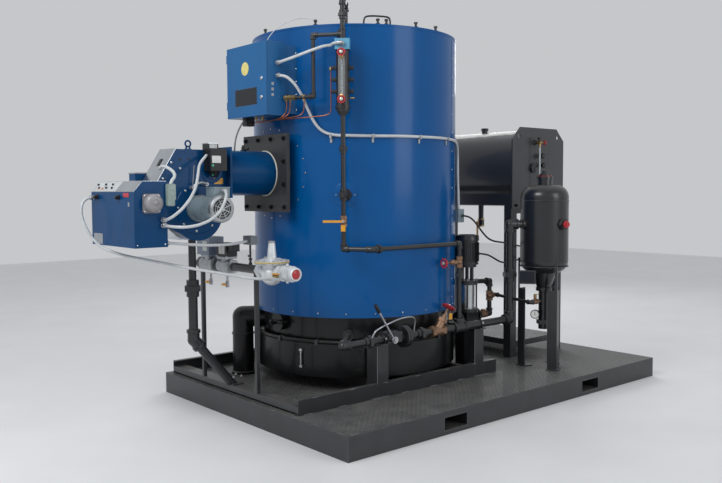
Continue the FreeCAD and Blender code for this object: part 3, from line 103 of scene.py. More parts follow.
def finish(name, hue, rough, metal=0.0, coat=0.0, grain_mm=1.5, grain=0.1, patch_mm=160, patch=0.12,
           dust=0.0, edge_wear_and_highlight=None, edge_band_mm=2.0, wave_mm=0, wave=0.0, zones=(), streak=None, shine=0.5):
    """A material. zones are boxes in which the colour, roughness and metallic are others."""
    made = bpy.data.materials.new(name)
    made.use_nodes = True
    tree = made.node_tree
    shader = tree.nodes["Principled BSDF"]
    place = add(tree, "ShaderNodeTexCoord").outputs["Object"]
    patches = add(tree, "ShaderNodeTexNoise", {"Vector": place, "Scale": 1000 / patch_mm, "Detail": 5.0})
    light = add(tree, "ShaderNodeMapRange", {"Value": patches.outputs["Fac"], "From Min": 0.3,
                "From Max": 0.7, "To Min": 1 - patch, "To Max": 1 + patch})
    base, roughness, metallic = colour(hue), rough, metal
    for low, high, zone_hue, zone_rough, zone_metal in zones:
        mask = inside_box(tree, place, low, high)
        base = add(tree, "ShaderNodeMix", {"Factor": mask, 6: base, 7: colour(zone_hue)},
                   data_type="RGBA").outputs[2]
        roughness = add(tree, "ShaderNodeMix", {"Factor": mask, 2: roughness, 3: zone_rough}).outputs[0]
        metallic = add(tree, "ShaderNodeMix", {"Factor": mask, 2: metallic, 3: zone_metal}).outputs[0]
    shade = add(tree, "ShaderNodeVectorMath",
                {0: base if isinstance(base, bpy.types.NodeSocket) else base[:3],
                 "Scale": light.outputs[0]}, operation="SCALE").outputs[0]
    facing = add(tree, "ShaderNodeNewGeometry")
    # A bevel-based edge mask, broken up by noise, mixes in a paler edge colour: partly edge wear, partly a
    # painted edge highlight.
    if edge_wear_and_highlight:
        soft = add(tree, "ShaderNodeBevel", {"Radius": edge_band_mm / 1000}, samples=4)
        turn = add(tree, "ShaderNodeVectorMath", {0: soft.outputs[0], 1: facing.outputs["Normal"]},
                   operation="DOT_PRODUCT")
        edge_breakup = add(tree, "ShaderNodeTexNoise", {"Vector": place, "Scale": 45.0, "Detail": 3.0})
        edge = add(tree, "ShaderNodeMapRange", {"Value": turn.outputs["Value"], "From Min": 0.985,
                   "From Max": 0.88, "To Min": 0.0, "To Max": 0.9})
        edge_wear_and_highlight_mask = add(tree, "ShaderNodeMath", {0: edge.outputs[0], 1: edge_breakup.outputs["Fac"]},
                   operation="MULTIPLY")
        shade = add(tree, "ShaderNodeMix", {"Factor": edge_wear_and_highlight_mask.outputs[0], 6: shade, 7: colour(edge_wear_and_highlight)},
                    data_type="RGBA").outputs[2]
    if dust:
        up = add(tree, "ShaderNodeSeparateXYZ", {0: facing.outputs["Normal"]})
        spots = add(tree, "ShaderNodeTexNoise", {"Vector": place, "Scale": 9.0, "Detail": 6.0})
        lying = add(tree, "ShaderNodeMapRange", {"Value": up.outputs[2], "From Min": 0.5, "From Max": 1.0,
                    "To Min": 0.0, "To Max": dust * 2})
        film = add(tree, "ShaderNodeMath", {0: lying.outputs[0], 1: spots.outputs["Fac"]},
                   operation="MULTIPLY")
        shade = add(tree, "ShaderNodeMix", {"Factor": film.outputs[0], 6: shade, 7: colour("#8b8880")},
                    data_type="RGBA").outputs[2]
        roughness = add(tree, "ShaderNodeMath", {0: roughness, 1: film.outputs[0]},
                        operation="ADD").outputs[0]
    elif not isinstance(roughness, bpy.types.NodeSocket):
        roughness = add(tree, "ShaderNodeMapRange", {"Value": patches.outputs["Fac"], "To Min": rough * 0.8,
                        "To Max": rough * 1.2}).outputs[0]
    stretched = place
    if streak:
        stretched = add(tree, "ShaderNodeVectorMath", {0: place, 1: streak},
                        operation="MULTIPLY").outputs[0]
    fine = add(tree, "ShaderNodeTexNoise", {"Vector": stretched, "Scale": 1000 / grain_mm, "Detail": 2.0})
    bump = add(tree, "ShaderNodeBump", {"Height": fine.outputs["Fac"], "Strength": grain,
                                        "Distance": 0.001})
    if wave_mm:
        slow = add(tree, "ShaderNodeTexNoise", {"Vector": place, "Scale": 1000 / wave_mm, "Detail": 0.0})
        bump = add(tree, "ShaderNodeBump", {"Height": slow.outputs["Fac"], "Strength": wave,
                "Distance": 0.02, "Normal": bump.outputs[0]})
    tree.links.new(shade, shader.inputs["Base Color"])
    for value, socket in ((roughness, "Roughness"), (metallic, "Metallic")):
        if isinstance(value, bpy.types.NodeSocket):
            tree.links.new(value, shader.inputs[socket])
        else:
            shader.inputs[socket].default_value = value
    tree.links.new(bump.outputs[0], shader.inputs["Normal"])
    shader.inputs["Specular IOR Level"].default_value = shine
    if coat:
        shader.inputs["Coat Weight"].default_value = coat
        shader.inputs["Coat Roughness"].default_value = 0.08
    return made


def paint_nodes(material, *names):
    """Gives CAD nodes their finish."""
    for name in names:
        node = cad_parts[name]
        node.data.materials.clear()
        node.data.materials.append(material)


# ---- floor and light --------------------------------------------------------------------------
# A pale sealed floor, a large soft key from the viewer's left, a fill and a low rim light.

floor_mesh = bpy.data.meshes.new("floor")
floor_mesh.from_pydata([(-14, -14, 0), (14, -14, 0), (14, 14, 0), (-14, 14, 0)], [], [(0, 1, 2, 3)])
floor = bpy.data.objects.new("floor", floor_mesh)
bpy.context.collection.objects.link(floor)
floor_mesh.materials.append(finish("sealed concrete floor", "#e2e3e4", 0.55, grain_mm=6, grain=0.05,
                                   patch_mm=700, patch=0.03))
world = bpy.data.worlds.new("soft room")
bpy.context.scene.world = world
world.use_nodes = True
world.node_tree.nodes["Background"].inputs[0].default_value = colour("#f4f6f9")
world.node_tree.nodes["Background"].inputs[1].default_value = 0.62
bpy.context.scene.view_settings.view_transform = "Standard"


def soft_light(name, at, towards, wide, tall, watts):
    lamp = bpy.data.lights.new(name, "AREA")
    lamp.shape, lamp.size, lamp.size_y, lamp.energy = "RECTANGLE", wide, tall, watts
    light = bpy.data.objects.new(name, lamp)
    bpy.context.collection.objects.link(light)
    light.location = at
    light.rotation_euler = (Vector(towards) - Vector(at)).to_track_quat("-Z", "Y").to_euler()


soft_light("key", (-5.5, -1.0, 5.2), (-0.5, 0, 1.3), 3.0, 2.2, 170)
soft_light("fill", (1.0, -6.5, 3.2), (0, 0, 1.2), 2.5, 3.5, 70)
soft_light("rim", (4.5, 4.0, 4.5), (0, 0, 1.5), 3.0, 3.0, 110)


# ---- pump cables ------------------------------------------------------------------------------
# Two rubber-sheathed cables that run from the jacket's switch box and from the pump motor across
# to the junction box on the tank's stand. Each hangs free in a slack curve between its glands.

cable_rubber = finish("cable rubber, extruded", "#17181a", 0.5, grain_mm=2.5, grain=0.15, patch_mm=60)
CABLE_RADIUS = 0.007
UPPER_ROUTE = [
    (0.108, -0.3975, 1.400), (0.111, -0.446, 1.398), (0.126, -0.488, 1.372), (0.156, -0.512, 1.322),
    (0.206, -0.520, 1.266), (0.276, -0.512, 1.218), (0.370, -0.492, 1.190), (0.490, -0.464, 1.176),
    (0.630, -0.434, 1.158), (0.790, -0.406, 1.128), (0.960, -0.380, 1.110), (1.130, -0.346, 1.112),
    (1.240, -0.326, 1.126), (1.313, -0.323, 1.130)]
LOWER_ROUTE = [
    (0.269, -0.4354, 1.092), (0.305, -0.474, 1.088), (0.356, -0.490, 1.064), (0.430, -0.484, 1.030),
    (0.520, -0.464, 1.006), (0.640, -0.436, 1.000), (0.790, -0.408, 1.012), (0.960, -0.380, 1.034),
    (1.130, -0.344, 1.062), (1.240, -0.321, 1.086), (1.313, -0.317, 1.092)]


def hung_cable(name, route, radius, material):
    """A round cable whose centre line is one smooth open spline through the route's hull."""
    line = bpy.data.curves.new(name, "CURVE")
    line.dimensions, line.bevel_depth, line.bevel_resolution, line.resolution_u = "3D", radius, 4, 8
    line.use_fill_caps = True
    spline = line.splines.new("NURBS")
    spline.points.add(len(route) - 1)
    for point, spot in zip(spline.points, route):
        point.co = (*spot, 1)
    spline.order_u = 3
    spline.use_endpoint_u = True
    line.materials.append(material)
    cable = bpy.data.objects.new(name, line)
    bpy.context.collection.objects.link(cable)
    return cable


for label, route, exact in (("pump_cable_upper", UPPER_ROUTE, 1.384), ("pump_cable_lower", LOWER_ROUTE,
        1.100)):
    cable = hung_cable(label + "_rubber", route, CABLE_RADIUS, cable_rubber)
    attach(cable, "package")
    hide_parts(label)


# ---- skid -------------------------------------------------------------------------------------
# Six-inch channel cut, coped and welded into a frame, with box fork pockets through it. Brushed
# charcoal alkyd over mill steel: a low gloss, paler along its edges from wear and from a painted
# edge highlight, dusty on top.

frame_paint = finish("charcoal alkyd on channel", "#26272a", 0.38, coat=0.25, grain_mm=3, grain=0.22,
                     patch=0.2, dust=0.22, edge_wear_and_highlight="#7d7f84", edge_band_mm=2.5, wave_mm=90, wave=0.05)
paint_nodes(frame_paint, "skid_sides", "skid_ends", "skid_cross_members", "fork_pockets", "boiler_rails",
            "cradle_channels", "support_posts", "tank_stand", "separator_legs", "pump_pedestal")
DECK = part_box("deck_plate")[1][2]
BACK, NEARWARD, LEFT, RIGHT, UP, DOWN = (0, 1, 0), (0, -1, 0), (-1, 0, 0), (1, 0, 0), (0, 0, 1), (0, 0, -1)
SHARP_DEGREES = 35


def ride(name, mesh, body):
    """Puts a mesh in the scene as a piece that rides on a body."""
    made = bpy.data.objects.new(name, mesh)
    bpy.context.collection.objects.link(made)
    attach(made, body)
    return made


def keep(name, shape, material, body="package"):
    """Closes a bmesh into a finished piece, with its normals out, that rides on a body."""
    bmesh.ops.remove_doubles(shape, verts=shape.verts, dist=1e-6)
    bmesh.ops.recalc_face_normals(shape, faces=shape.faces)
    mesh = bpy.data.meshes.new(name)
    shape.to_mesh(mesh)
    shape.free()
    mesh.materials.append(material)
    mesh.shade_smooth()
    mesh.set_sharp_from_angle(angle=radians(SHARP_DEGREES))
    return ride(name, mesh, body)


def lathe(shape, profile, at, way, sides=24):
    """Turns a profile of (radius, distance along the axis) round an axis through a point."""
    turn = Vector(way).to_track_quat("Z", "Y").to_matrix()
    rings = []
    for radius, along in profile:
        count = sides if radius > 1e-6 else 1
        rings.append([shape.verts.new(Vector(at) + turn @ Vector((
            radius * cos(tau * k / sides), radius * sin(tau * k / sides), along)))
            for k in range(count)])
    for lower, upper in zip(rings, rings[1:]):
        for k in range(sides):
            corners = [lower[k % len(lower)], lower[(k + 1) % len(lower)],
                       upper[(k + 1) % len(upper)], upper[k % len(upper)]]
            corners = list(dict.fromkeys(corners))
            if len(corners) > 2:
                shape.faces.new(corners)
    return shape


def block(shape, low, high, round_by=0.002, turn=None):
    """A rounded block between two corners, turned about its own middle if asked."""
    middle, size = (Vector(low) + Vector(high)) / 2, Vector(high) - Vector(low)
    turned = turn.to_4x4() if turn else Matrix()
    matrix = Matrix.Translation(middle) @ turned @ Matrix.Diagonal((*size, 1))
    made = bmesh.ops.create_cube(shape, size=1.0, matrix=matrix)["verts"]
    edges = list({e for v in made for e in v.link_edges})
    bmesh.ops.bevel(shape, geom=edges, offset=round_by, segments=2, affect="EDGES", clamp_overlap=True)
    return shape


def rod(shape, radius, start, end, at, way, sides=24):
    """A plain cylinder between two distances along an axis through a point."""
    return lathe(shape, [(0, start), (radius, start), (radius, end), (0, end)], at, way, sides)


def pad(shape, middle, half, round_by=0.002, turn=None):
    """A rounded block given by its middle and its half sizes."""
    return block(shape, Vector(middle) - Vector(half), Vector(middle) + Vector(half), round_by, turn)


def nodes_tree(name, inputs):
    """A Geometry Nodes tree with a mesh in, a mesh out and named inputs for its sizes."""
    tree = bpy.data.node_groups.new(name, "GeometryNodeTree")
    tree.interface.new_socket("Mesh", in_out="INPUT", socket_type="NodeSocketGeometry")
    tree.interface.new_socket("Mesh", in_out="OUTPUT", socket_type="NodeSocketGeometry")
    for label, kind in inputs:
        tree.interface.new_socket(label, in_out="INPUT", socket_type=kind)
    return tree, add(tree, "NodeGroupInput"), add(tree, "NodeGroupOutput")


def settled(source):
    """The plain mesh that an object's modifiers or curve make. The object itself is removed."""
    bpy.context.view_layer.update()
    depsgraph = bpy.context.evaluated_depsgraph_get()
    plain = bpy.data.meshes.new_from_object(source.evaluated_get(depsgraph), depsgraph=depsgraph)
    bpy.data.objects.remove(source)
    return plain


def grown(name, mesh, tree, sizes, body="package"):
    """Runs a tree on a mesh with its sizes set, and keeps what it makes as a plain mesh."""
    seed = bpy.data.objects.new(name + "_points", mesh)
    bpy.context.collection.objects.link(seed)
    modifier = seed.modifiers.new("grow", "NODES")
    modifier.node_group = tree
    for socket in tree.interface.items_tree:
        if socket.in_out == "INPUT" and socket.name in sizes:
            modifier[socket.identifier] = sizes[socket.name]
    plain = settled(seed)
    plain.name = name
    return ride(name, plain, body)


# Weld beads: short runs of overlapping scallops, laid where the deck's edge and the rails meet.
bead_tree, bead_in, bead_out = nodes_tree("weld beads", (
    ("Width", "NodeSocketFloat"), ("Step", "NodeSocketFloat"), ("Metal", "NodeSocketMaterial")))
bead_line = add(bead_tree, "GeometryNodeMeshToCurve", {0: bead_in.outputs["Mesh"]})
bead_spots = add(bead_tree, "GeometryNodeResampleCurve", {"Curve": bead_line.outputs[0],
                 "Length": bead_in.outputs["Step"]}, mode="LENGTH")
bead_drop = add(bead_tree, "GeometryNodeMeshIcoSphere", {"Radius": bead_in.outputs["Width"],
        "Subdivisions": 1})
bead_set = add(bead_tree, "GeometryNodeInstanceOnPoints", {"Points": bead_spots.outputs[0],
               "Instance": bead_drop.outputs[0]})
bead_real = add(bead_tree, "GeometryNodeRealizeInstances", {0: bead_set.outputs[0]})
bead_finish = add(bead_tree, "GeometryNodeSetMaterial", {"Geometry": bead_real.outputs[0],
                  "Material": bead_in.outputs["Metal"]})
bead_tree.links.new(bead_finish.outputs[0], bead_out.inputs[0])
weld_metal = finish("wire-brushed weld metal", "#8e9094", 0.42, metal=0.7, grain_mm=1, grain=0.3,
                    patch_mm=20)


def beads(name, runs, width=0.003, step=0.004):
    """Weld beads along straight runs, each a pair of ends in metres."""
    mesh = bpy.data.meshes.new(name)
    mesh.from_pydata([p for run in runs for p in run], [(2 * k, 2 * k + 1) for k in range(len(runs))], [])
    return grown(name, mesh, bead_tree, {"Width": width, "Step": step, "Metal": weld_metal})


HALF_LONG, HALF_WIDE, WELD_IN, STITCH, STITCH_GAP = 1.700, 1.143, 0.004, 0.055, 0.235
stitches = []
for side in (-1, 1):
    start = -HALF_LONG + 0.03
    while start < HALF_LONG - STITCH:
        y = side * (HALF_WIDE - WELD_IN)
        stitches.append(((start, y, DECK - 0.001), (start + STITCH, y, DECK - 0.001)))
        start += STITCH_GAP
    start = -HALF_WIDE + 0.05
    while start < HALF_WIDE - STITCH:
        x = side * (HALF_LONG - WELD_IN)
        stitches.append(((x, start, DECK - 0.001), (x, start + STITCH, DECK - 0.001)))
        start += STITCH_GAP
beads("deck_stitch_welds", stitches, 0.0025)


# ---- deck -------------------------------------------------------------------------------------
# One sheet of quarter-inch tread plate. Its rolled lugs stand about 1.5 mm proud and cross at
# right angles, and boots have rubbed their tops brighter than the dark paint between them.

deck_paint = finish("charcoal paint on tread plate", "#303235", 0.42, coat=0.15, grain_mm=4, grain=0.2,
                    patch_mm=260, patch=0.25, dust=0.28, wave_mm=400, wave=0.06)
lug_paint = finish("rubbed tread lugs", "#5c5f63", 0.34, metal=0.45, grain_mm=2, grain=0.2, patch_mm=300,
                   patch=0.3)
paint_nodes(deck_paint, "deck_plate")
lug_tree, lug_in, lug_out = nodes_tree("tread lugs", (
    ("Long", "NodeSocketFloat"), ("Wide", "NodeSocketFloat"), ("Pitch", "NodeSocketFloat"),
    ("Rise", "NodeSocketFloat"), ("Metal", "NodeSocketMaterial")))
lug_rows = []
for size in ("Long", "Wide"):
    divided = add(lug_tree, "ShaderNodeMath", {0: lug_in.outputs[size], 1: lug_in.outputs["Pitch"]},
                  operation="DIVIDE")
    lug_rows.append(add(lug_tree, "FunctionNodeFloatToInt", {0: divided.outputs[0]}, rounding_mode="FLOOR"))
lug_shape = add(lug_tree, "GeometryNodeMeshCone", {"Vertices": 6, "Radius Top": 0.45, "Radius Bottom": 1.0,
                "Depth": 1.0}, fill_type="NGON")
lug_half = add(lug_tree, "ShaderNodeMath", {0: lug_in.outputs["Pitch"], 1: 0.5}, operation="MULTIPLY")
lug_layers = []
for layer, degrees in ((-0.5, 45), (0.5, -45)):
    grid = add(lug_tree, "GeometryNodeMeshGrid", {"Size X": lug_in.outputs["Long"],
               "Size Y": lug_in.outputs["Wide"], "Vertices X": lug_rows[0].outputs[0],
               "Vertices Y": lug_rows[1].outputs[0]})
    offset = add(lug_tree, "ShaderNodeMath", {0: lug_half.outputs[0], 1: layer}, operation="MULTIPLY")
    shift = add(lug_tree, "ShaderNodeCombineXYZ", {0: offset.outputs[0], 1: offset.outputs[0]})
    moved = add(lug_tree, "GeometryNodeTransform",
                {"Geometry": grid.outputs[0], "Translation": shift.outputs[0]})
    scale = add(lug_tree, "ShaderNodeCombineXYZ", {0: 0.0145, 1: 0.0036, 2: lug_in.outputs["Rise"]})
    turned = add(lug_tree, "GeometryNodeInstanceOnPoints", {"Points": moved.outputs[0],
                 "Instance": lug_shape.outputs[0], "Rotation": (0, 0, radians(degrees)),
                 "Scale": scale.outputs[0]})
    lug_layers.append(turned)
lug_all = add(lug_tree, "GeometryNodeJoinGeometry")
for layer in lug_layers:
    lug_tree.links.new(layer.outputs[0], lug_all.inputs[0])
lug_real = add(lug_tree, "GeometryNodeRealizeInstances", {0: lug_all.outputs[0]})
lug_up = add(lug_tree, "GeometryNodeTransform", {"Geometry": lug_real.outputs[0],
             "Translation": (0, 0, DECK - 0.0001)})
lug_done = add(lug_tree, "GeometryNodeSetMaterial", {"Geometry": lug_up.outputs[0],
               "Material": lug_in.outputs["Metal"]})
lug_tree.links.new(lug_done.outputs[0], lug_out.inputs[0])
grown("deck_tread_lugs", bpy.data.meshes.new("deck_tread_lugs"), lug_tree, {
    "Long": HALF_LONG * 2 - 0.05, "Wide": HALF_WIDE * 2 - 0.05, "Pitch": 0.042, "Rise": 0.0016,
    "Metal": lug_paint})


# ---- boiler rails and posts ---------------------------------------------------------------------
# Channel rails stitch-welded to the deck with a cross channel at the burner end and two square
# posts for the blowdown line. The bright runs are brushed weld under thin paint.

rails_low, rails_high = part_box("boiler_rails")
rail_runs = []
for k in range(7):
    x = rails_low[0] + 0.05 + k * 0.29
    for y in (rails_low[1] - 0.001, rails_high[1] + 0.001):
        rail_runs.append(((x, y, DECK + 0.002), (x + 0.06, y, DECK + 0.002)))
for k in range(6):
    x = rails_low[0] + 0.12 + k * 0.31
    rail_runs.append(((x, rails_low[1] + 0.002, rails_high[2] - 0.001),
                      (x + 0.045, rails_low[1] + 0.002, rails_high[2] - 0.001)))
for x in (-0.982, 0.027):
    rail_runs.append(((x, -0.601, DECK + 0.002), (x + 0.1016, -0.601, DECK + 0.002)))
    rail_runs.append(((x - 0.001, -0.6, 0.262), (x - 0.001, -0.6, 0.52)))
beads("rail_welds", rail_runs, 0.003, 0.0045)

bolt_tree, bolt_in, bolt_out = nodes_tree("hexagon bolts", (
    ("Across", "NodeSocketFloat"), ("Tall", "NodeSocketFloat"), ("Metal", "NodeSocketMaterial")))
bolt_wide = add(bolt_tree, "ShaderNodeMath", {0: bolt_in.outputs["Across"], 1: 0.577}, operation="MULTIPLY")
bolt_disc = add(bolt_tree, "ShaderNodeMath", {0: bolt_in.outputs["Across"], 1: 0.66}, operation="MULTIPLY")
bolt_thin = add(bolt_tree, "ShaderNodeMath", {0: bolt_in.outputs["Tall"], 1: 0.3}, operation="MULTIPLY")
bolt_neck = add(bolt_tree, "ShaderNodeMath", {0: bolt_in.outputs["Across"], 1: 0.3}, operation="MULTIPLY")
bolt_end = add(bolt_tree, "ShaderNodeMath", {0: bolt_in.outputs["Tall"], 1: 1.5}, operation="MULTIPLY")
bolt_bits = add(bolt_tree, "GeometryNodeJoinGeometry")
for sides, radius, tall in ((6, bolt_wide, bolt_in.outputs["Tall"]), (16, bolt_disc, bolt_thin.outputs[0]),
                            (10, bolt_neck, bolt_end.outputs[0])):
    drum = add(bolt_tree, "GeometryNodeMeshCylinder", {"Vertices": sides, "Radius": radius.outputs[0],
               "Depth": tall}, fill_type="NGON")
    lift = add(bolt_tree, "ShaderNodeMath", {0: tall, 1: 0.5}, operation="MULTIPLY")
    rise = add(bolt_tree, "ShaderNodeCombineXYZ", {2: lift.outputs[0]})
    stood = add(bolt_tree, "GeometryNodeTransform",
                {"Geometry": drum.outputs[0], "Translation": rise.outputs[0]})
    bolt_tree.links.new(stood.outputs[0], bolt_bits.inputs[0])
bolt_way = add(bolt_tree, "GeometryNodeInputNamedAttribute", {"Name": "way"}, data_type="FLOAT_VECTOR")
bolt_turn = add(bolt_tree, "FunctionNodeAlignRotationToVector", {"Vector": bolt_way.outputs[0]}, axis="Z")
bolt_set = add(bolt_tree, "GeometryNodeInstanceOnPoints", {"Points": bolt_in.outputs["Mesh"],
               "Instance": bolt_bits.outputs[0], "Rotation": bolt_turn.outputs[0]})
bolt_real = add(bolt_tree, "GeometryNodeRealizeInstances", {0: bolt_set.outputs[0]})
bolt_done = add(bolt_tree, "GeometryNodeSetMaterial", {"Geometry": bolt_real.outputs[0],
                "Material": bolt_in.outputs["Metal"]})
bolt_tree.links.new(bolt_done.outputs[0], bolt_out.inputs[0])
black_fastener = finish("black oxide fasteners", "#1d1e20", 0.4, metal=0.6, grain_mm=1, grain=0.15,
                        patch_mm=15)
zinc_fastener = finish("zinc-plated fasteners", "#b4b6b8", 0.3, metal=0.95, grain_mm=1, grain=0.15,
                       patch_mm=12)


def bolts(name, places, across, tall, material):
    """Bolt heads on a surface: each place is a point and the way that the head stands."""
    mesh = bpy.data.meshes.new(name)
    mesh.from_pydata([spot for spot, way in places], [], [])
    ways = mesh.attributes.new("way", "FLOAT_VECTOR", "POINT")
    for row, (spot, way) in zip(ways.data, places):
        row.vector = way
    return grown(name, mesh, bolt_tree, {"Across": across, "Tall": tall, "Metal": material})


clamp_places = [((x, -0.6 + y, 0.572), UP) for x in (-0.931, 0.078) for y in (-0.037, 0.037)]
bolts("pipe_clamp_nuts", clamp_places, 0.016, 0.010, zinc_fastener)


# ---- base drum --------------------------------------------------------------------------------
# The insulated lower drum: rolled sheet with a round rod lip that clips hold down, a vertical
# lap seam and a spring latch on the burner side. Same charcoal paint, smoother than the frame.

drum_paint = finish("charcoal enamel on rolled sheet", "#0f1012", 0.3, shine=0.3, coat=0.15, grain_mm=2.5,
                    grain=0.08, patch=0.15, dust=0.3, wave_mm=170, wave=0.1)
paint_nodes(drum_paint, "lower_drum", "pressure_vessel", "handhole_cover", "base_elbow_pipe", "top_nozzles")
AXIS = Vector((-0.47, 0.24, 0))
DRUM, DRUM_TOP = 0.79, 0.50


def around(angle, radius, z):
    """A point round the boiler's axis, in metres and degrees."""
    return AXIS + Vector((radius * cos(radians(angle)), radius * sin(radians(angle)), z))


def out_way(angle):
    return Vector((cos(radians(angle)), sin(radians(angle)), 0))


def facing_out(angle):
    """The turn that takes X to the outward way at an angle."""
    return Matrix.Rotation(radians(angle), 3, "Z")


clips = bmesh.new()
for angle in range(-175, 185, 24):
    spot = around(angle, DRUM - 0.001, DRUM_TOP + 0.013)
    pad(clips, spot, (0.019, 0.012, 0.019), 0.004, facing_out(angle))
keep("drum_lip_clips", clips, frame_paint)
seam = bmesh.new()
for angle in (-128, 52):
    spot = around(angle, DRUM + 0.001, 0.38)
    pad(seam, spot, (0.003, 0.022, 0.115), 0.001, facing_out(angle))
    for z in (0.31, 0.455):
        strap = around(angle, DRUM + 0.006, z)
        pad(seam, strap, (0.008, 0.03, 0.014), 0.003, facing_out(angle))
keep("drum_seam_straps", seam, drum_paint)
bolts("drum_seam_bolts", [(around(a, DRUM + 0.014, z), out_way(a)) for a in (-128, 52)
                          for z in (0.31, 0.455)], 0.013, 0.008, black_fastener)
LATCH = -160
latch = bmesh.new()
rod(latch, 0.006, 0, 0.13, around(LATCH, DRUM + 0.014, 0.33), UP, 12)
for z in (0.33, 0.45):
    spot = around(LATCH, DRUM + 0.008, z)
    pad(latch, spot, (0.012, 0.014, 0.008), 0.002, facing_out(LATCH))
keep("drum_latch_rod", latch, zinc_fastener)
bolts("handhole_nut", [(around(-178, 0.833, 0.628), out_way(-178))], 0.03, 0.016, black_fastener)
elbow_ring = bmesh.new()
elbow_at = around(148, 0.905, DECK + 0.012)
lathe(elbow_ring, [(0, 0), (0.094, 0), (0.094, 0.006), (0.084, 0.012), (0.083, 0.30), (0.089, 0.303),
                   (0.089, 0.315), (0.083, 0.318), (0, 0.318)], elbow_at, UP, 40)
keep("base_elbow_collar", elbow_ring, drum_paint)


# ---- jacket -----------------------------------------------------------------------------------
# The boiler's insulation casing: blue powder-coated sheet, rolled and lapped, glossy enough to
# mirror the room. Screws hold its hem and laps, and a trim ring closes it round the burner.

jacket_paint = finish("blue powder coat on jacket sheet", "#00508e", 0.22, shine=0.22, coat=0.1, grain_mm=3,
                      grain=0.05, patch_mm=500, patch=0.06, dust=0.05, wave_mm=260, wave=0.1)
paint_nodes(jacket_paint, "jacket", "top_cover")
JACKET, JACKET_LOW, JACKET_TOP = 0.80, 0.694, 2.752
laps = bmesh.new()
for angle in (-62, 118):
    spot = around(angle, JACKET + 0.0002, (JACKET_LOW + JACKET_TOP) / 2)
    pad(laps, spot, (0.0012, 0.016, 1.02), 0.0008, facing_out(angle))
keep("jacket_laps", laps, jacket_paint)
screw_places = [(around(a, JACKET, JACKET_LOW + 0.03), out_way(a)) for a in range(-180, 180, 15)]
screw_places += [(around(a, JACKET + 0.0012, z / 100), out_way(a)) for a in (-62, 118)
                 for z in range(78, 274, 14)]


def round_screws(name, places, radius, material):
    """Pan-head screws: each place is a point on a surface and the way that the head stands."""
    heads = bmesh.new()
    for spot, way in places:
        lathe(heads, [(0, -0.001), (radius, -0.001), (radius, radius * 0.35), (radius * 0.7, radius * 0.75),
                      (radius * 0.25, radius * 0.8), (radius * 0.2, radius * 0.5), (0, radius * 0.5)], spot,
              way, 12)
    return keep(name, heads, material)


screw_metal = finish("nickel-plated screws", "#c4c6c8", 0.24, metal=1, grain_mm=1, grain=0.1, patch_mm=8)
round_screws("jacket_hem_screws", screw_places, 0.0055, screw_metal)
TRIM_IN, TRIM_OUT, BURNER_Y, BURNER_Z = 0.292, 0.345, 0.245, 1.732


def on_jacket(angle, radius, above=0.0):
    """A point on the jacket's burner side, given round the burner's own axis."""
    y = BURNER_Y + radius * cos(angle)
    reach = JACKET + above
    return Vector((AXIS.x - sqrt(reach * reach - (y - AXIS.y) ** 2), y, BURNER_Z + radius * sin(angle)))


trim = bmesh.new()
trim_rings = [[trim.verts.new(on_jacket(tau * k / 96, radius, above)) for k in range(96)]
              for radius, above in ((TRIM_IN, -0.002), (TRIM_IN, 0.0018), (TRIM_OUT, 0.0018),
                                    (TRIM_OUT, -0.002))]
for first, second in zip(trim_rings, trim_rings[1:] + trim_rings[:1]):
    for k in range(96):
        trim.faces.new((first[k], first[(k + 1) % 96], second[(k + 1) % 96], second[k]))
keep("burner_trim_ring", trim, jacket_paint)
round_screws("burner_trim_screws", [
    (on_jacket(tau * k / 20, 0.327, 0.0016), (on_jacket(tau * k / 20, 0.327) - AXIS).to_2d().to_3d())
    for k in range(20)], 0.0065, screw_metal)


def tube(name, route, radius, material):
    """A held line, kept as a plain mesh round a smooth centre line."""
    plain = settled(hung_cable(name + "_line", route, radius, material))
    plain.shade_smooth()
    ride(name, plain, "package")


# Lifting studs and a vent line stand on the cover's edge.
black_iron = finish("black iron fittings", "#232427", 0.36, coat=0.2, grain_mm=2.5, grain=0.2, patch=0.15,
                    patch_mm=60, dust=0.15, wave_mm=40, wave=0.04)
COVER = 2.766
studs = bmesh.new()
for angle in (-151, -117.5, -112.8, -94.7, -78.5, -40, 0, 45, 90, 135, 170):
    spot = around(angle, 0.765, COVER - 0.002)
    lathe(studs, [(0, 0), (0.017, 0), (0.017, 0.012), (0.009, 0.014), (0.009, 0.03), (0.014, 0.031),
                  (0.014, 0.044), (0.006, 0.047), (0, 0.047)], spot, UP, 12)
keep("cover_edge_studs", studs, black_iron)
tube("cover_vent_line", [around(-125, 0.755, COVER - 0.004), around(-125, 0.755, 2.80),
                         around(-124, 0.758, 2.824), around(-120, 0.762, 2.828), around(-113, 0.764, 2.826),
                         around(-111, 0.765, 2.818), around(-110.6, 0.765, 2.79),
                         around(-110.6, 0.765, COVER - 0.004)], 0.0065, black_iron)
tube("cover_signal_cable", [(-1.405, 0.10, 2.640), (-1.402, 0.09, 2.672), (-1.360, 0.05, 2.745),
                            (-1.290, 0.00, 2.800), (-1.220, -0.05, 2.825), (-1.160, -0.09, 2.822),
                            around(-151, 0.782, 2.806), around(-151, 0.765, 2.800)], 0.0032,
     finish("pale cable sheath", "#c9ccd0", 0.45, grain_mm=2, grain=0.1, patch_mm=50))

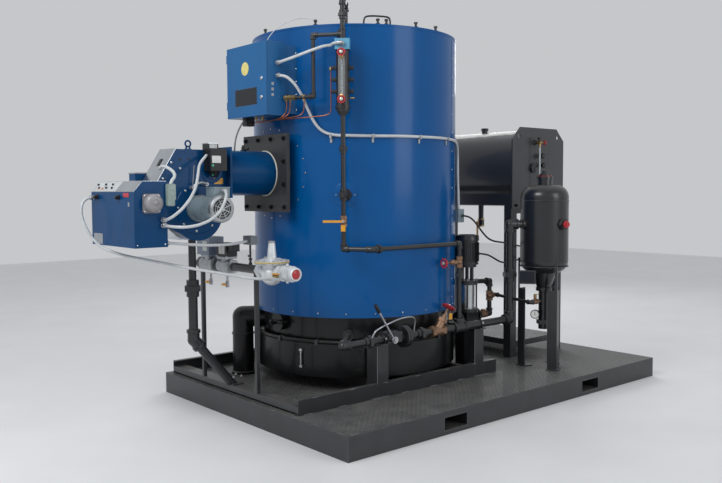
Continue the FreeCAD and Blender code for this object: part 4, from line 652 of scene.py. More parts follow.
# Saddle clips hold the controls conduit to the jacket.
clip_metal = finish("galvanised pressed steel", "#a9adb2", 0.38, metal=0.8, grain_mm=5, grain=0.15,
                    patch_mm=25, patch=0.2)
saddles = bmesh.new()
for angle in (-142, -121, -95, -72):
    spot = around(angle, JACKET + 0.003, 1.962)
    pad(saddles, spot, (0.005, 0.008, 0.022), 0.0015, facing_out(angle))
    cap = around(angle, JACKET + 0.0285, 1.986)
    pad(saddles, cap, (0.002, 0.008, 0.014), 0.0015, facing_out(angle))
    foot = around(angle, JACKET + 0.015, 1.973)
    pad(saddles, foot, (0.014, 0.008, 0.002), 0.0015, facing_out(angle))
keep("conduit_saddles", saddles, clip_metal)


# ---- burner plate -----------------------------------------------------------------------------
# Inch-thick steel plate on the furnace neck, painted heat-proof black. Twelve bolts hold it, and
# a pale rope gasket shows where the blast tube passes through.

plate_paint = finish("heat-proof black on steel plate", "#2e2e30", 0.5, coat=0.1, grain_mm=3, grain=0.2,
                     patch_mm=130, patch=0.14, dust=0.12, edge_wear_and_highlight="#6b6d70", edge_band_mm=2)
paint_nodes(plate_paint, "burner_plate")
PLATE_X = -1.332
bolts("burner_plate_bolts", [((PLATE_X, BURNER_Y + y, BURNER_Z + z), LEFT)
                             for y in (-0.245, -0.082, 0.082, 0.245)
                             for z in (-0.245, -0.082, 0.082, 0.245) if max(abs(y), abs(z)) > 0.2], 0.024,
      0.014, black_fastener)
keep("blast_tube_gasket", lathe(bmesh.new(), [(0.157, -0.002), (0.166, -0.002), (0.166, 0.004),
            (0.163, 0.007), (0.157, 0.007)], (PLATE_X, BURNER_Y, BURNER_Z), LEFT, 64),
     finish("glass-fibre rope gasket", "#c9c6bb", 0.9, grain_mm=2.5, grain=0.6, patch_mm=12, patch=0.2))


# ---- blast tube -------------------------------------------------------------------------------
# The burner's round air tube, rolled and seam-welded sheet in the maker's blue enamel, with a
# square flange bolted to the blower housing and a sensor fitting on top.

# The paler blue on its edges is a painted edge highlight.
burner_paint = finish("blue enamel on burner sheet", "#02406f", 0.27, shine=0.14, coat=0.05, grain_mm=3,
                      grain=0.08, patch_mm=240, patch=0.08, dust=0.03, edge_wear_and_highlight="#3f6d94", edge_band_mm=1.2,
                      wave_mm=120, wave=0.08)
paint_nodes(burner_paint, "blast_tube")
FLANGE_X = -1.715
bolts("blast_tube_flange_bolts", [((FLANGE_X, BURNER_Y + y, BURNER_Z + z), RIGHT) for y in (-0.155, 0.155)
      for z in (-0.155, 0.155)], 0.017, 0.011, zinc_fastener)
bolts("blast_tube_top_bolts", [((x, 0.235, 1.885), UP) for x in (-1.748, -1.778)], 0.012, 0.008,
      zinc_fastener)
keep("blast_tube_seam", block(bmesh.new(), (-1.71, BURNER_Y - 0.1610, BURNER_Z + 0.006),
                              (-1.37, BURNER_Y - 0.1585, BURNER_Z + 0.0115), 0.001), burner_paint)
sensor = bmesh.new()
lathe(sensor, [(0, -0.01), (0.021, -0.01), (0.021, 0.006), (0.013, 0.008), (0.013, 0.026), (0.009, 0.030),
               (0.009, 0.040), (0, 0.040)], (-1.512, 0.25, 1.892), UP, 16)
rod(sensor, 0.010, 0, 0.03, (-1.512, 0.222, 1.900), (0.3, -1, 0.2), 12)
keep("blast_tube_sensor", sensor, black_iron)
grey_sheath = finish("grey flexible conduit sheath", "#c0c4c7", 0.42, coat=0.2, grain_mm=1.2, grain=0.25,
                     patch_mm=60, patch=0.1)
tube("sensor_lead", [(-1.560, 0.29, 1.882), (-1.556, 0.292, 1.94), (-1.530, 0.300, 2.02),
                     (-1.486, 0.304, 2.09), (-1.448, 0.305, 2.14)], 0.0058,
     finish("dark sensor lead", "#5b6065", 0.4, coat=0.2, grain_mm=2, grain=0.1, patch_mm=50))


# ---- blower housing -----------------------------------------------------------------------------
# The fan scroll, folded and spot-welded blue sheet, with a pressed disc round the motor, a sloped
# bright air-inlet cover with an oval sight slot, and a flame-cut lifting lug.

paint_nodes(burner_paint, "blower_housing")
NEAR = 0.135
disc = bmesh.new()
lathe(disc, [(0.090, 0.001), (0.093, 0.001), (0.096, 0.005), (0.168, 0.005), (0.172, 0.001),
             (0.172, -0.002), (0.090, -0.002)], (-1.945, NEAR, 1.489), NEARWARD, 72)
lathe(disc, [(0.056, -0.002), (0.056, 0.001), (0.060, 0.004), (0.080, 0.004), (0.084, 0.001),
             (0.084, -0.002)], (-1.838, NEAR - 0.001, 1.742), NEARWARD, 40)
keep("housing_pressed_discs", disc, burner_paint)
disc_screws = [((-1.945 + 0.155 * cos(radians(a)), NEAR - 0.005, 1.489 + 0.155 * sin(radians(a))),
                NEARWARD) for a in (130, 178, 222, 262, 310)]
disc_screws += [((x, NEAR, z), NEARWARD) for x, z in ((-2.142, 1.795), (-2.205, 1.688), (-2.078, 1.756),
                                                       (-1.752, 1.86), (-1.752, 1.60))]
round_screws("housing_screws", disc_screws, 0.0085, zinc_fastener)
holes = bmesh.new()
for x in (-2.077, -2.010):
    lathe(holes, [(0, -0.001), (0.008, -0.001), (0.008, 0.0012), (0.005, 0.0008), (0, 0.0008)],
          (x, NEAR, 1.816), NEARWARD, 16)
bright_sheet = finish("bright brushed cover sheet", "#b9bec4", 0.22, metal=0.95, grain_mm=1, grain=0.12,
                      patch_mm=200, patch=0.1, streak=(0.15, 1.0, 0.15), wave_mm=160, wave=0.06)
black_moulding = finish("black moulded plastic", "#17181a", 0.42, grain_mm=1, grain=0.25, patch_mm=60)
keep("housing_plug_holes", holes, black_moulding)
SLOPE_HIGH, SLOPE_LOW = Vector((-2.108, 0, 1.885)), Vector((-2.240, 0, 1.675))
slope_way = (SLOPE_HIGH - SLOPE_LOW).normalized()
slope_out = Vector((-slope_way.z, 0, slope_way.x))
slope_turn = Matrix((slope_way, Vector((0, 1, 0)), slope_out)).transposed()
middle = (SLOPE_HIGH + SLOPE_LOW) / 2 + Vector((0, 0.245, 0)) + slope_out * 0.002
cover = bmesh.new()
half = Vector(((SLOPE_HIGH - SLOPE_LOW).length / 2 + 0.004, 0.1125, 0.0022))
pad(cover, middle, half, 0.001, slope_turn)
keep("air_inlet_cover", cover, bright_sheet)
slot_ring = bmesh.new()
slot_at = middle + slope_way * 0.018 + slope_out * 0.002
for (long, wide), rise in (((0.030, 0.022), 0.003), ((0.022, 0.014), 0.0045)):
    low, high = slot_at - Vector((long, wide, 0.003)), slot_at + Vector((long, wide, rise))
    block(slot_ring, low, high, min(long, wide) * 0.9, slope_turn)
keep("air_inlet_slot", slot_ring, black_moulding)
keep("far_ignition_box", block(bmesh.new(), (-2.286, 0.365, 1.668), (-2.10, 0.47, 1.73), 0.006),
     burner_paint)
trim_edge = bmesh.new()
for z in (1.670, 1.724):
    block(trim_edge, (-2.290, 0.362, z), (-2.098, 0.472, z + 0.008), 0.002)
keep("far_ignition_box_trim", trim_edge, bright_sheet)
scoop = bmesh.new()
front = [(-2.174, 1.363), (-2.174, 1.290), (-2.060, 1.276), (-2.100, 1.300)]
sides = [[scoop.verts.new((x, y, z)) for x, z in front] for y in (0.15, 0.34)]
scoop.faces.new(sides[0])
scoop.faces.new(sides[1][::-1])
for k in range(4):
    scoop.faces.new((sides[0][k], sides[1][k], sides[1][(k + 1) % 4], sides[0][(k + 1) % 4]))
keep("scroll_drain_scoop", scoop, bright_sheet)
keep("housing_yellow_plate", block(bmesh.new(), (-1.822, NEAR - 0.0016, 1.653),
                                   (-1.752, NEAR + 0.0005, 1.694), 0.0006),
     finish("plain yellow enamelled plate", "#d79a24", 0.4, coat=0.3, grain_mm=2, grain=0.08, patch_mm=20))


# ---- blower motor -----------------------------------------------------------------------------
# A foot-less frame motor in machine grey: a finned cast shell, a bright spoked end shield over
# its cooling fan and a terminal box with a screwed lid.

motor_paint = finish("machine grey on cast shell", "#7c8c93", 0.4, coat=0.15, grain_mm=3, grain=0.25,
                     patch_mm=70, patch=0.12, dust=0.18, edge_wear_and_highlight="#8d979c", edge_band_mm=1.5)
paint_nodes(motor_paint, "blower_motor")
MOTOR = Vector((-1.945, -0.168, 1.489))
cast_metal = finish("cast aluminium, fettled", "#a7abae", 0.4, metal=0.75, grain_mm=1.2, grain=0.35,
                    patch_mm=35, patch=0.15, dust=0.1)
shield = bmesh.new()
lathe(shield, [(0.064, 0.001), (0.0885, 0.001), (0.0905, -0.006), (0.0905, -0.024), (0.088, -0.024),
               (0.088, 0.006), (0.084, 0.010), (0.070, 0.012), (0.064, 0.008)], MOTOR, NEARWARD, 56)
lathe(shield, [(0, 0.0), (0.020, 0.0), (0.020, 0.012), (0.015, 0.016), (0.007, 0.016), (0, 0.012)],
      MOTOR, NEARWARD, 28)
for k in range(8):
    angle = tau * (k + 0.5) / 8
    turn = Matrix.Rotation(-angle, 3, "Y")
    spot = MOTOR + Vector((0.043 * cos(angle), -0.005, 0.043 * sin(angle)))
    pad(shield, spot, (0.026, 0.006, 0.0035), 0.0015, turn)
for radius in (0.036, 0.052):
    lathe(shield, [(radius - 0.002, 0), (radius + 0.002, 0), (radius + 0.002, 0.007),
                   (radius - 0.002, 0.007), (radius - 0.002, 0)], MOTOR, NEARWARD, 40)
keep("motor_end_shield", shield, cast_metal)
keep("motor_fan_opening", rod(bmesh.new(), 0.0655, 0, 0.001, MOTOR, NEARWARD, 40),
     black_moulding)
keep("motor_terminal_lid", block(bmesh.new(), (-1.981, -0.132, 1.624), (-1.855, -0.024, 1.632), 0.002),
     motor_paint)
bands = bmesh.new()
for y in (-0.138, -0.02):
    lathe(bands, [(0.080, -0.004), (0.0855, -0.004), (0.0865, 0), (0.0855, 0.004), (0.080, 0.004)],
          (MOTOR.x, y, MOTOR.z), NEARWARD, 48)
keep("motor_shell_bands", bands, motor_paint)
bolts("motor_flange_bolts", [((-1.945 + 0.078 * cos(radians(a)), 0.105, 1.489 + 0.078 * sin(radians(a))),
      NEARWARD) for a in (45, 135, 225, 315)], 0.012, 0.006, zinc_fastener)


# ---- burner controls --------------------------------------------------------------------------
# The damper actuator, a black moulded box with a bare white plate and a green pilot lens, and a
# small black relay on the housing. Cast levers link the actuator to the fuel and air cams.

control_paint = finish("black moulded housing", "#191a1c", 0.45, grain_mm=1, grain=0.3, patch_mm=90,
                       dust=0.12)
paint_nodes(control_paint, "burner_controls")
plates = bmesh.new()
block(plates, (-1.89, 0.0386, 1.794), (-1.822, 0.0404, 1.842), 0.0005)
block(plates, (-1.812, 0.2035, 1.893), (-1.752, 0.2052, 1.93), 0.0005)
keep("controls_blank_plates", plates, finish("bare white plate", "#d9dbd8", 0.5, grain_mm=2, grain=0.05,
     patch_mm=25))
lens = bmesh.new()
lathe(lens, [(0, -0.002), (0.009, -0.002), (0.009, 0.002), (0.006, 0.005), (0, 0.0055)],
      (-1.866, 0.072, 1.717), (-0.6, -0.8, 0), 16)
lathe(lens, [(0, -0.01), (0.009, -0.01), (0.009, 0.003), (0.005, 0.006), (0, 0.006)],
      (-1.884, 0.0398, 1.776), NEARWARD, 16)
keep("actuator_pilot_lens", lens, finish("green pilot lens", "#2fa37c", 0.2, coat=0.8, grain_mm=4,
        grain=0.02, patch_mm=9))
box_trim = bmesh.new()
for z in (1.884, 1.932):
    block(box_trim, (-1.826, 0.201, z), (-1.738, 0.289, z + 0.006), 0.002)
keep("relay_trim", box_trim, bright_sheet)
links = bmesh.new()
arm_route = [(-1.905, 0.088, 1.655), (-1.945, 0.085, 1.662), (-1.986, 0.09, 1.652), (-2.005, 0.10, 1.630)]
for first, second in zip(arm_route, arm_route[1:]):
    way = Vector(second) - Vector(first)
    rod(links, 0.009, -0.004, way.length + 0.004, first, way, 12)
rod(links, 0.014, 0, 0.05, (-1.905, 0.135, 1.652), NEARWARD, 16)
rod(links, 0.013, 0, 0.05, (-2.005, 0.135, 1.628), NEARWARD, 16)
rod(links, 0.0035, 0, 0.13, (-2.002, 0.105, 1.648), (0.1, 0, 1), 8)
keep("damper_linkage", links, cast_metal)


# ---- console ----------------------------------------------------------------------------------
# The burner's control console: folded blue steel with a bright switch panel on its slope, a grey
# alarm horn and a die-cast relay cover on its flanks. Its printed plates are left bare.

paint_nodes(burner_paint, "console_box")
FRONT, CONSOLE_NEAR, CONSOLE_FAR = -2.51, -0.08, 0.567
panel_high, panel_low = Vector((-2.45, 0, 1.668)), Vector((-2.51, 0, 1.602))
panel_way = (panel_high - panel_low).normalized()
panel_out = Vector((-panel_way.z, 0, panel_way.x))
panel_turn = Matrix((panel_way, Vector((0, 1, 0)), panel_out)).transposed()
panel_mid = (panel_high + panel_low) / 2 + Vector((0, (CONSOLE_NEAR + CONSOLE_FAR) / 2,
        0)) + panel_out * 0.001
panel = bmesh.new()
half = Vector((0.0445, 0.322, 0.0014))
pad(panel, panel_mid, half, 0.0008, panel_turn)
block(panel, (-2.450, CONSOLE_NEAR + 0.003, 1.6675), (-2.289, CONSOLE_FAR - 0.003, 1.6702), 0.0008)
keep("console_panel", panel, bright_sheet)
pale_plate = bmesh.new()
spot = panel_mid + Vector((0, 0.13, 0)) + panel_out * 0.0016
half = Vector((0.042, 0.185, 0.0012))
pad(pale_plate, spot, half, 0.0006, panel_turn)
keep("console_switch_plate", pale_plate, finish("bare pale switch plate", "#c2c7ca", 0.4, metal=0.2,
        grain_mm=2, grain=0.05, patch_mm=60))
knobs = bmesh.new()
for across, along in ((0.29, 0.015), (0.235, -0.014), (0.17, 0.017), (0.125, -0.012), (0.06, 0.016),
                      (0.035, -0.014)):
    spot = panel_mid + Vector((0, across - 0.005, 0)) + panel_way * along + panel_out * 0.002
    lathe(knobs, [(0, 0), (0.009, 0), (0.009, 0.003), (0.006, 0.004), (0.006, 0.009), (0.005, 0.010),
                  (0, 0.010)], spot, panel_out, 16)
for y, z in ((0.459, 1.570), (0.132, 1.568)):
    lathe(knobs, [(0, -0.001), (0.017, -0.001), (0.017, 0.006), (0.012, 0.008), (0.013, 0.026),
                  (0.010, 0.029), (0, 0.029)], (FRONT, y, z), LEFT, 20)
keep("console_knobs", knobs, black_moulding)
lamps = bmesh.new()
for across in (-0.05, -0.11):
    spot = panel_mid + Vector((0, across + 0.28, 0)) + panel_way * -0.02 + panel_out * 0.002
    lathe(lamps, [(0, 0), (0.008, 0), (0.008, 0.003), (0.006, 0.007), (0, 0.008)], spot, panel_out, 14)
keep("console_lamps", lamps, finish("amber lamp lens", "#c77a33", 0.2, coat=0.8, grain_mm=4, grain=0.02,
     patch_mm=9))
keep("console_red_plate", block(bmesh.new(), (FRONT - 0.0016, -0.012, 1.570),
                                (FRONT + 0.0005, 0.070, 1.596), 0.0006), finish("plain red enamelled plate",
        "#b8202c", 0.35, coat=0.3, grain_mm=2, grain=0.05, patch_mm=20))
small_plates = bmesh.new()
block(small_plates, (FRONT - 0.0016, 0.395, 1.262), (FRONT + 0.0005, 0.535, 1.330), 0.0006)
block(small_plates, (FRONT - 0.0016, -0.020, 1.512), (FRONT + 0.0005, 0.004, 1.538), 0.0006)
keep("console_bare_plates", small_plates, bright_sheet)
horn = bmesh.new()
block(horn, (-2.457, CONSOLE_NEAR - 0.016, 1.470), (-2.337, CONSOLE_NEAR + 0.001, 1.590), 0.008)
lathe(horn, [(0, 0.014), (0.056, 0.014), (0.058, 0.030), (0.057, 0.052), (0.050, 0.064), (0.034, 0.072),
             (0.020, 0.070), (0.018, 0.074), (0.010, 0.078), (0, 0.078)], (-2.397, CONSOLE_NEAR, 1.532),
      NEARWARD, 44)
keep("alarm_horn", horn, finish("grey enamel on alarm horn", "#8f8d90", 0.35, coat=0.3, grain_mm=2,
                                grain=0.12, patch_mm=60))
round_screws("alarm_horn_screws", [((x, CONSOLE_NEAR - 0.0158, z), NEARWARD) for x in (-2.446, -2.348)
             for z in (1.481, 1.579)], 0.005, screw_metal)
relay = bmesh.new()
block(relay, (-2.298, CONSOLE_NEAR - 0.030, 1.512), (-2.246, CONSOLE_NEAR + 0.002, 1.556), 0.004)
block(relay, (-2.298, CONSOLE_NEAR - 0.030, 1.548), (-2.238, CONSOLE_NEAR + 0.002, 1.652), 0.005)
for z in (1.585, 1.620):
    lathe(relay, [(0, 0), (0.012, 0), (0.010, 0.004), (0, 0.004)], (-2.266, CONSOLE_NEAR - 0.030, z),
          NEARWARD, 16)
keep("relay_cover", relay, finish("grey-green die-cast cover", "#8fa09c", 0.4, coat=0.2, grain_mm=2,
                                  grain=0.15, patch_mm=50))
tube("relay_conduit", [(-2.268, -0.092, 1.648), (-2.262, -0.094, 1.670), (-2.236, -0.090, 1.694),
     (-2.222, -0.060, 1.722), (-2.226, 0.0, 1.752), (-2.240, 0.06, 1.768), (-2.236, 0.11, 1.758),
     (-2.222, 0.136, 1.750)], 0.0105, grey_sheath)
round_screws("console_screws", [((x, CONSOLE_NEAR, z), NEARWARD) for x, z in (
    (-2.492, 1.272), (-2.305, 1.272), (-2.305, 1.40))], 0.005, screw_metal)


# ---- burner leg -------------------------------------------------------------------------------
# Two-inch black steel pipe that props the blower, with a union, an elbow and a raked foot on the
# cross channel. Bare mill finish under a thin black paint.

paint_nodes(black_iron, "burner_leg")
bolts("burner_leg_foot_bolts", [((-1.617 + x, 0.238 + y, 0.270), UP) for x in (-0.033, 0.033)
      for y in (-0.038, 0.038)], 0.014, 0.009, zinc_fastener)


# ---- gas train --------------------------------------------------------------------------------
# Black iron pipe with two die-cast safety shutoff valves, their actuators, test cocks, a pressure
# switch and a spring-loaded regulator in bare cast aluminium, held on two square struts.

paint_nodes(black_iron, "gas_pipe")
paint_nodes(cast_metal, "gas_valve_bodies")
silver_paint = finish("silver paint on cast regulator", "#d6dadd", 0.36, metal=0.4, grain_mm=1.5, grain=0.3,
                      patch_mm=60, patch=0.14, dust=0.1)
paint_nodes(silver_paint, "gas_regulator")
paint_nodes(finish("moulded actuator cases", "#1b1c1e", 0.45, grain_mm=1, grain=0.25, patch_mm=80, dust=0.2,
                   zones=(((-1.8, 0.405, 1.1), (-1.5, 0.60, 1.3), "#77808f", 0.38, 0.1),
                          ((-1.8, -0.2, 1.2), (-1.5, 0.02, 1.33), "#6c7077", 0.35, 0.5))), "gas_actuators")
gas_bits = bmesh.new()
for y in (0.425, 0.555, 0.205, 0.325):
    for side in (-1, 1):
        rod(gas_bits, 0.008, -0.002, 0.006, (-1.65 + side * 0.043, y, 1.138), UP, 6)
for k in range(12):
    angle = tau * k / 12
    lathe(gas_bits, [(0, -0.02), (0.0085, -0.02), (0.0085, 0.007), (0.004, 0.008), (0, 0.008)],
          (-1.65 + 0.105 * cos(angle), -0.302 + 0.105 * sin(angle), 1.142), UP, 6)
lathe(gas_bits, [(0, 0), (0.018, 0), (0.018, 0.012), (0.012, 0.014), (0.012, 0.022), (0, 0.022)],
      (-1.65, -0.236, 1.146), UP, 12)
lathe(gas_bits, [(0, -0.006), (0.024, -0.006), (0.024, 0.006), (0.019, 0.010), (0, 0.011)],
      (-1.65, -0.302, 1.266), UP, 24)
keep("gas_train_screws", gas_bits, zinc_fastener)
keep("regulator_gasket_band", lathe(bmesh.new(), [(0.114, 0.0006), (0.1172, 0.0006), (0.1172, 0.0095),
            (0.114, 0.0095)], (-1.65, -0.302, 1.1305), UP, 64), finish("pale yellow diaphragm edge",
        "#b9a35a", 0.6, grain_mm=2, grain=0.1, patch_mm=25))
pale = bmesh.new()
block(pale, (-1.697, 0.222, 1.158), (-1.6945, 0.300, 1.222), 0.0005)
block(pale, (-1.7135, 0.44, 1.17), (-1.711, 0.50, 1.24), 0.0005)
keep("actuator_bare_plates", pale, finish("bare pale plate", "#c8cbc6", 0.5, grain_mm=2, grain=0.05,
        patch_mm=25))
yellow_grip = finish("yellow vinyl-dipped lever", "#d9981c", 0.42, coat=0.3, grain_mm=1.5, grain=0.12,
                     patch_mm=25, patch=0.1)
paint_nodes(yellow_grip, "gas_cock_handle_far", "gas_cock_handle_near")
brass = finish("machined brass", "#a88f5f", 0.3, metal=0.9, grain_mm=1, grain=0.2, patch_mm=18, patch=0.14)
cock_bits = bmesh.new()
lathe(cock_bits, [(0, 0), (0.012, 0), (0.012, 0.012), (0.009, 0.014), (0.009, 0.045), (0, 0.045)],
      (-1.692, -0.352, 1.030), LEFT, 6)
rod(cock_bits, 0.009, 0, 0.05, (-1.704, -0.395, 1.052), NEARWARD, 12)
keep("regulator_cock", cock_bits, brass)
keep("regulator_cock_grip", block(bmesh.new(), (-1.722, -0.470, 1.064), (-1.706, -0.398, 1.072), 0.003),
     yellow_grip)
cap = bmesh.new()
lathe(cap, [(0, -0.002), (0.031, -0.002), (0.031, 0.004), (0.026, 0.007), (0, 0.007)],
      (-1.65, -0.566, 1.07), NEARWARD, 32)
red_paint = finish("red enamel on cast iron", "#b3202b", 0.35, coat=0.35, grain_mm=1.5, grain=0.15,
                   patch_mm=22, patch=0.14, edge_wear_and_highlight="#8d8683", edge_band_mm=1)
keep("gas_inlet_cap", cap, red_paint)
inlet = bmesh.new()
lathe(inlet, [(0.032, -0.004), (0.043, -0.004), (0.045, 0.002), (0.043, 0.008), (0.034, 0.009),
              (0.032, 0.004)], (-1.65, -0.566, 1.07), NEARWARD, 40)
for side in (-1, 1):
    lathe(inlet, [(0, 0), (0.010, 0), (0.010, 0.012), (0.006, 0.016), (0, 0.016)],
          (-1.65, -0.478, 1.07 + side * 0.048), (0, 0, side), 12)
keep("gas_inlet_rim", inlet, silver_paint)
keep("switch_stem_fitting", lathe(bmesh.new(), [(0, 0), (0.013, 0), (0.013, 0.012), (0.008, 0.014),
            (0.008, 0.03), (0.013, 0.031), (0.013, 0.043), (0, 0.043)], (-1.65, -0.041, 1.10), UP, 8),
     black_iron)


# ---- burner conduits --------------------------------------------------------------------------
# Liquid-tight flexible conduit: a pale grey sheath over wound steel, with plated compression
# glands where each one enters a box.

paint_nodes(grey_sheath, "burner_conduits", "cabinet_conduits")
glands = bmesh.new()
for spot, way in (((-2.318, -0.080, 1.425), NEARWARD), ((-2.318, -0.080, 1.392), NEARWARD),
                  ((-1.908, -0.128, 1.606), NEARWARD), ((-2.510, 0.520, 1.565), LEFT),
                  ((-2.287, -0.030, 1.275), RIGHT), ((-1.400, -0.026, 2.496), NEARWARD),
                  ((-1.400, -0.026, 2.408), NEARWARD)):
    lathe(glands, [(0, -0.001), (0.017, -0.001), (0.017, 0.008), (0.0145, 0.010), (0.0145, 0.018),
                   (0.0165, 0.019), (0.0165, 0.027), (0.0125, 0.031), (0, 0.031)], spot, way, 12)
keep("conduit_glands", glands, clip_metal)


# ---- control cabinet --------------------------------------------------------------------------
# A folded steel enclosure in the jacket's blue on standoff brackets. Its door has two quarter-turn
# latches and two plates, both left bare; knockouts and small blank stickers are on the near side.

# The light blue on its edges is a painted edge highlight.
cabinet_paint = finish("blue powder coat on cabinet", "#0d5a90", 0.34, shine=0.3, coat=0.1, grain_mm=1.6,
                       grain=0.12, patch_mm=320, patch=0.05, dust=0.05, edge_wear_and_highlight="#7fa3c4", edge_band_mm=1.2,
                       wave_mm=200, wave=0.05)
paint_nodes(cabinet_paint, "cabinet_box", "cabinet_door")
DOOR, CABINET_NEAR, CABINET_FAR, CABINET_LOW, CABINET_TOP = -1.494, -0.026, 0.482, 2.134, 2.642
latches = bmesh.new()
for y, z in ((0.028, 2.389), (0.031, 2.258)):
    lathe(latches, [(0, -0.002), (0.014, -0.002), (0.014, 0.003), (0.011, 0.006), (0.004, 0.0065),
                    (0, 0.0045)], (DOOR, y, z), LEFT, 24)
    block(latches, (DOOR - 0.0095, y - 0.0085, z - 0.0022), (DOOR - 0.005, y + 0.0085, z + 0.0022), 0.001)
keep("door_latches", latches, screw_metal, "cabinet_door")
oval = bmesh.new()
rim = [(0.238 + 0.047 * cos(tau * k / 48), 2.475 + 0.047 * sin(tau * k / 48)) for k in range(48)]
layers = [[oval.verts.new((x, y, z)) for y, z in rim] for x in (DOOR + 0.0005, DOOR - 0.0013)]
oval.faces.new(layers[0])
oval.faces.new(layers[1][::-1])
for k in range(48):
    oval.faces.new((layers[0][k], layers[1][k], layers[1][(k + 1) % 48], layers[0][(k + 1) % 48]))
keep("door_round_plate", oval, finish("plain pale yellow plate", "#d8cc7c", 0.45, coat=0.3, grain_mm=2,
                                      grain=0.04, patch_mm=30), "cabinet_door")
keep("door_long_plate", block(bmesh.new(), (DOOR - 0.0016, 0.09, 2.214), (DOOR + 0.0005, 0.372, 2.334),
                              0.0007), finish("plain dark anodised plate", "#2b2e33", 0.35, metal=0.5,
        grain_mm=1.5, grain=0.06, patch_mm=60, edge_wear_and_highlight="#b6babf", edge_band_mm=1.2), "cabinet_door")
knockouts = bmesh.new()
for k in range(8):
    z = 2.212 + k * 0.0535
    for radius, rise in ((0.016, 0.0012), (0.0105, 0.0018)):
        lathe(knockouts, [(radius - 0.0012, -0.001), (radius + 0.0012, -0.001), (radius + 0.0006, rise),
                          (radius - 0.0006, rise), (radius - 0.0012, -0.001)], (-1.372, CABINET_NEAR, z),
              NEARWARD, 28)
keep("cabinet_knockouts", knockouts, cabinet_paint)
stickers = bmesh.new()
for z in (2.274, 2.312, 2.350):
    block(stickers, (-1.449, CABINET_NEAR - 0.0012, z - 0.010), (-1.429, CABINET_NEAR + 0.0005, z + 0.010),
          0.0004)
keep("cabinet_blank_tags", stickers, bright_sheet)
round_screws("cabinet_bracket_screws", [((-1.232, CABINET_NEAR + 0.005, z), NEARWARD)
                                        for z in (2.18, 2.29, 2.38, 2.47, 2.58)], 0.006, screw_metal)
folds = bmesh.new()
block(folds, (-1.4795, CABINET_NEAR - 0.0015, CABINET_LOW + 0.002),
      (-1.474, CABINET_FAR + 0.001, CABINET_LOW + 0.005), 0.0006)
block(folds, (-1.482, CABINET_NEAR - 0.002, CABINET_TOP - 0.001),
      (-1.36, CABINET_FAR + 0.002, CABINET_TOP + 0.0012), 0.0006)
keep("cabinet_rain_lip", folds, cabinet_paint)
copper = finish("copper tube, tarnished", "#a8694f", 0.3, metal=0.95, grain_mm=4, grain=0.1, patch_mm=40,
                patch=0.2)
manifold = [Vector((-1.262, -0.262, 2.252)), Vector((-1.318, -0.118, 2.252))]
run_way = (manifold[1] - manifold[0]).normalized()
taps = [manifold[1] + run_way * 0.036, manifold[1] + run_way * 0.066, manifold[0] + run_way * 0.075]
for k, (tap, end_y) in enumerate(zip(taps, (0.40, 0.33, 0.20))):
    start = Vector((tap.x, tap.y, 2.242))
    tube("pressure_tube_%d" % (k + 1), [start, start - Vector((0, 0, 0.05)),
                                        start - Vector((0.004, -0.01, 0.098)),
                                        start + Vector((-0.026, 0.03, -0.122)),
                                        Vector((-1.376, 0.02, 2.108)),
                                        Vector((-1.392, 0.10 + k * 0.02, 2.100)),
                                        Vector((-1.398 - k * 0.014, end_y - 0.03, 2.098)),
                                        Vector((-1.400 - k * 0.014, end_y, 2.104)),
                                        Vector((-1.400 - k * 0.014, end_y, 2.136))], 0.0038, copper)
cock_side = Vector((-1.131, -0.421, 0)) + Vector((-0.7071, 0.7071, 0)) * 0.082
tube("column_copper_tube", [(cock_side.x, cock_side.y, 2.436), (cock_side.x, cock_side.y, 2.36),
                            (cock_side.x, cock_side.y, 2.24), (cock_side.x, cock_side.y, 2.155),
                            (cock_side.x - 0.006, cock_side.y + 0.012, 2.128),
                            (cock_side.x - 0.03, cock_side.y + 0.05, 2.118), (-1.285, -0.185, 2.112),
                            (-1.345, -0.055, 2.108), (-1.375, 0.03, 2.104), (-1.395, 0.12, 2.100),
                            (-1.40, 0.16, 2.104), (-1.40, 0.16, 2.136)], 0.0038, copper)
under = bmesh.new()
for x, y in ((-1.40, 0.16), (-1.40, 0.40), (-1.414, 0.33), (-1.428, 0.20)):
    lathe(under, [(0, -0.002), (0.011, -0.002), (0.011, 0.012), (0.008, 0.014), (0.008, 0.026), (0, 0.026)],
          (x, y, CABINET_LOW), DOWN, 6)
lathe(under, [(0, -0.006), (0.011, -0.006), (0.011, 0.012), (0.006, 0.016), (0, 0.016)],
      (cock_side.x, cock_side.y, 2.440), DOWN, 6)
for tap in taps:
    lathe(under, [(0, -0.022), (0.0145, -0.022), (0.0145, 0.0), (0.009, 0.003), (0.009, 0.016), (0, 0.016)],
          (tap.x, tap.y, 2.246), DOWN, 6)
lathe(under, [(0, -0.01), (0.0185, -0.01), (0.0185, 0.084), (0.012, 0.088), (0, 0.088)], manifold[1],
      run_way, 6)
keep("pressure_tube_fittings", under, brass)
keep("cabinet_sensor_box", block(bmesh.new(), (-1.455, 0.285, 2.075), (-1.385, 0.345, 2.136), 0.003),
     black_moulding)


# ---- water column -----------------------------------------------------------------------------
# A cast-iron column in black with a low-water probe head, try cocks down both flanks and a gauge
# glass between two valves, behind guard rods. The small red wheels shut the glass off.

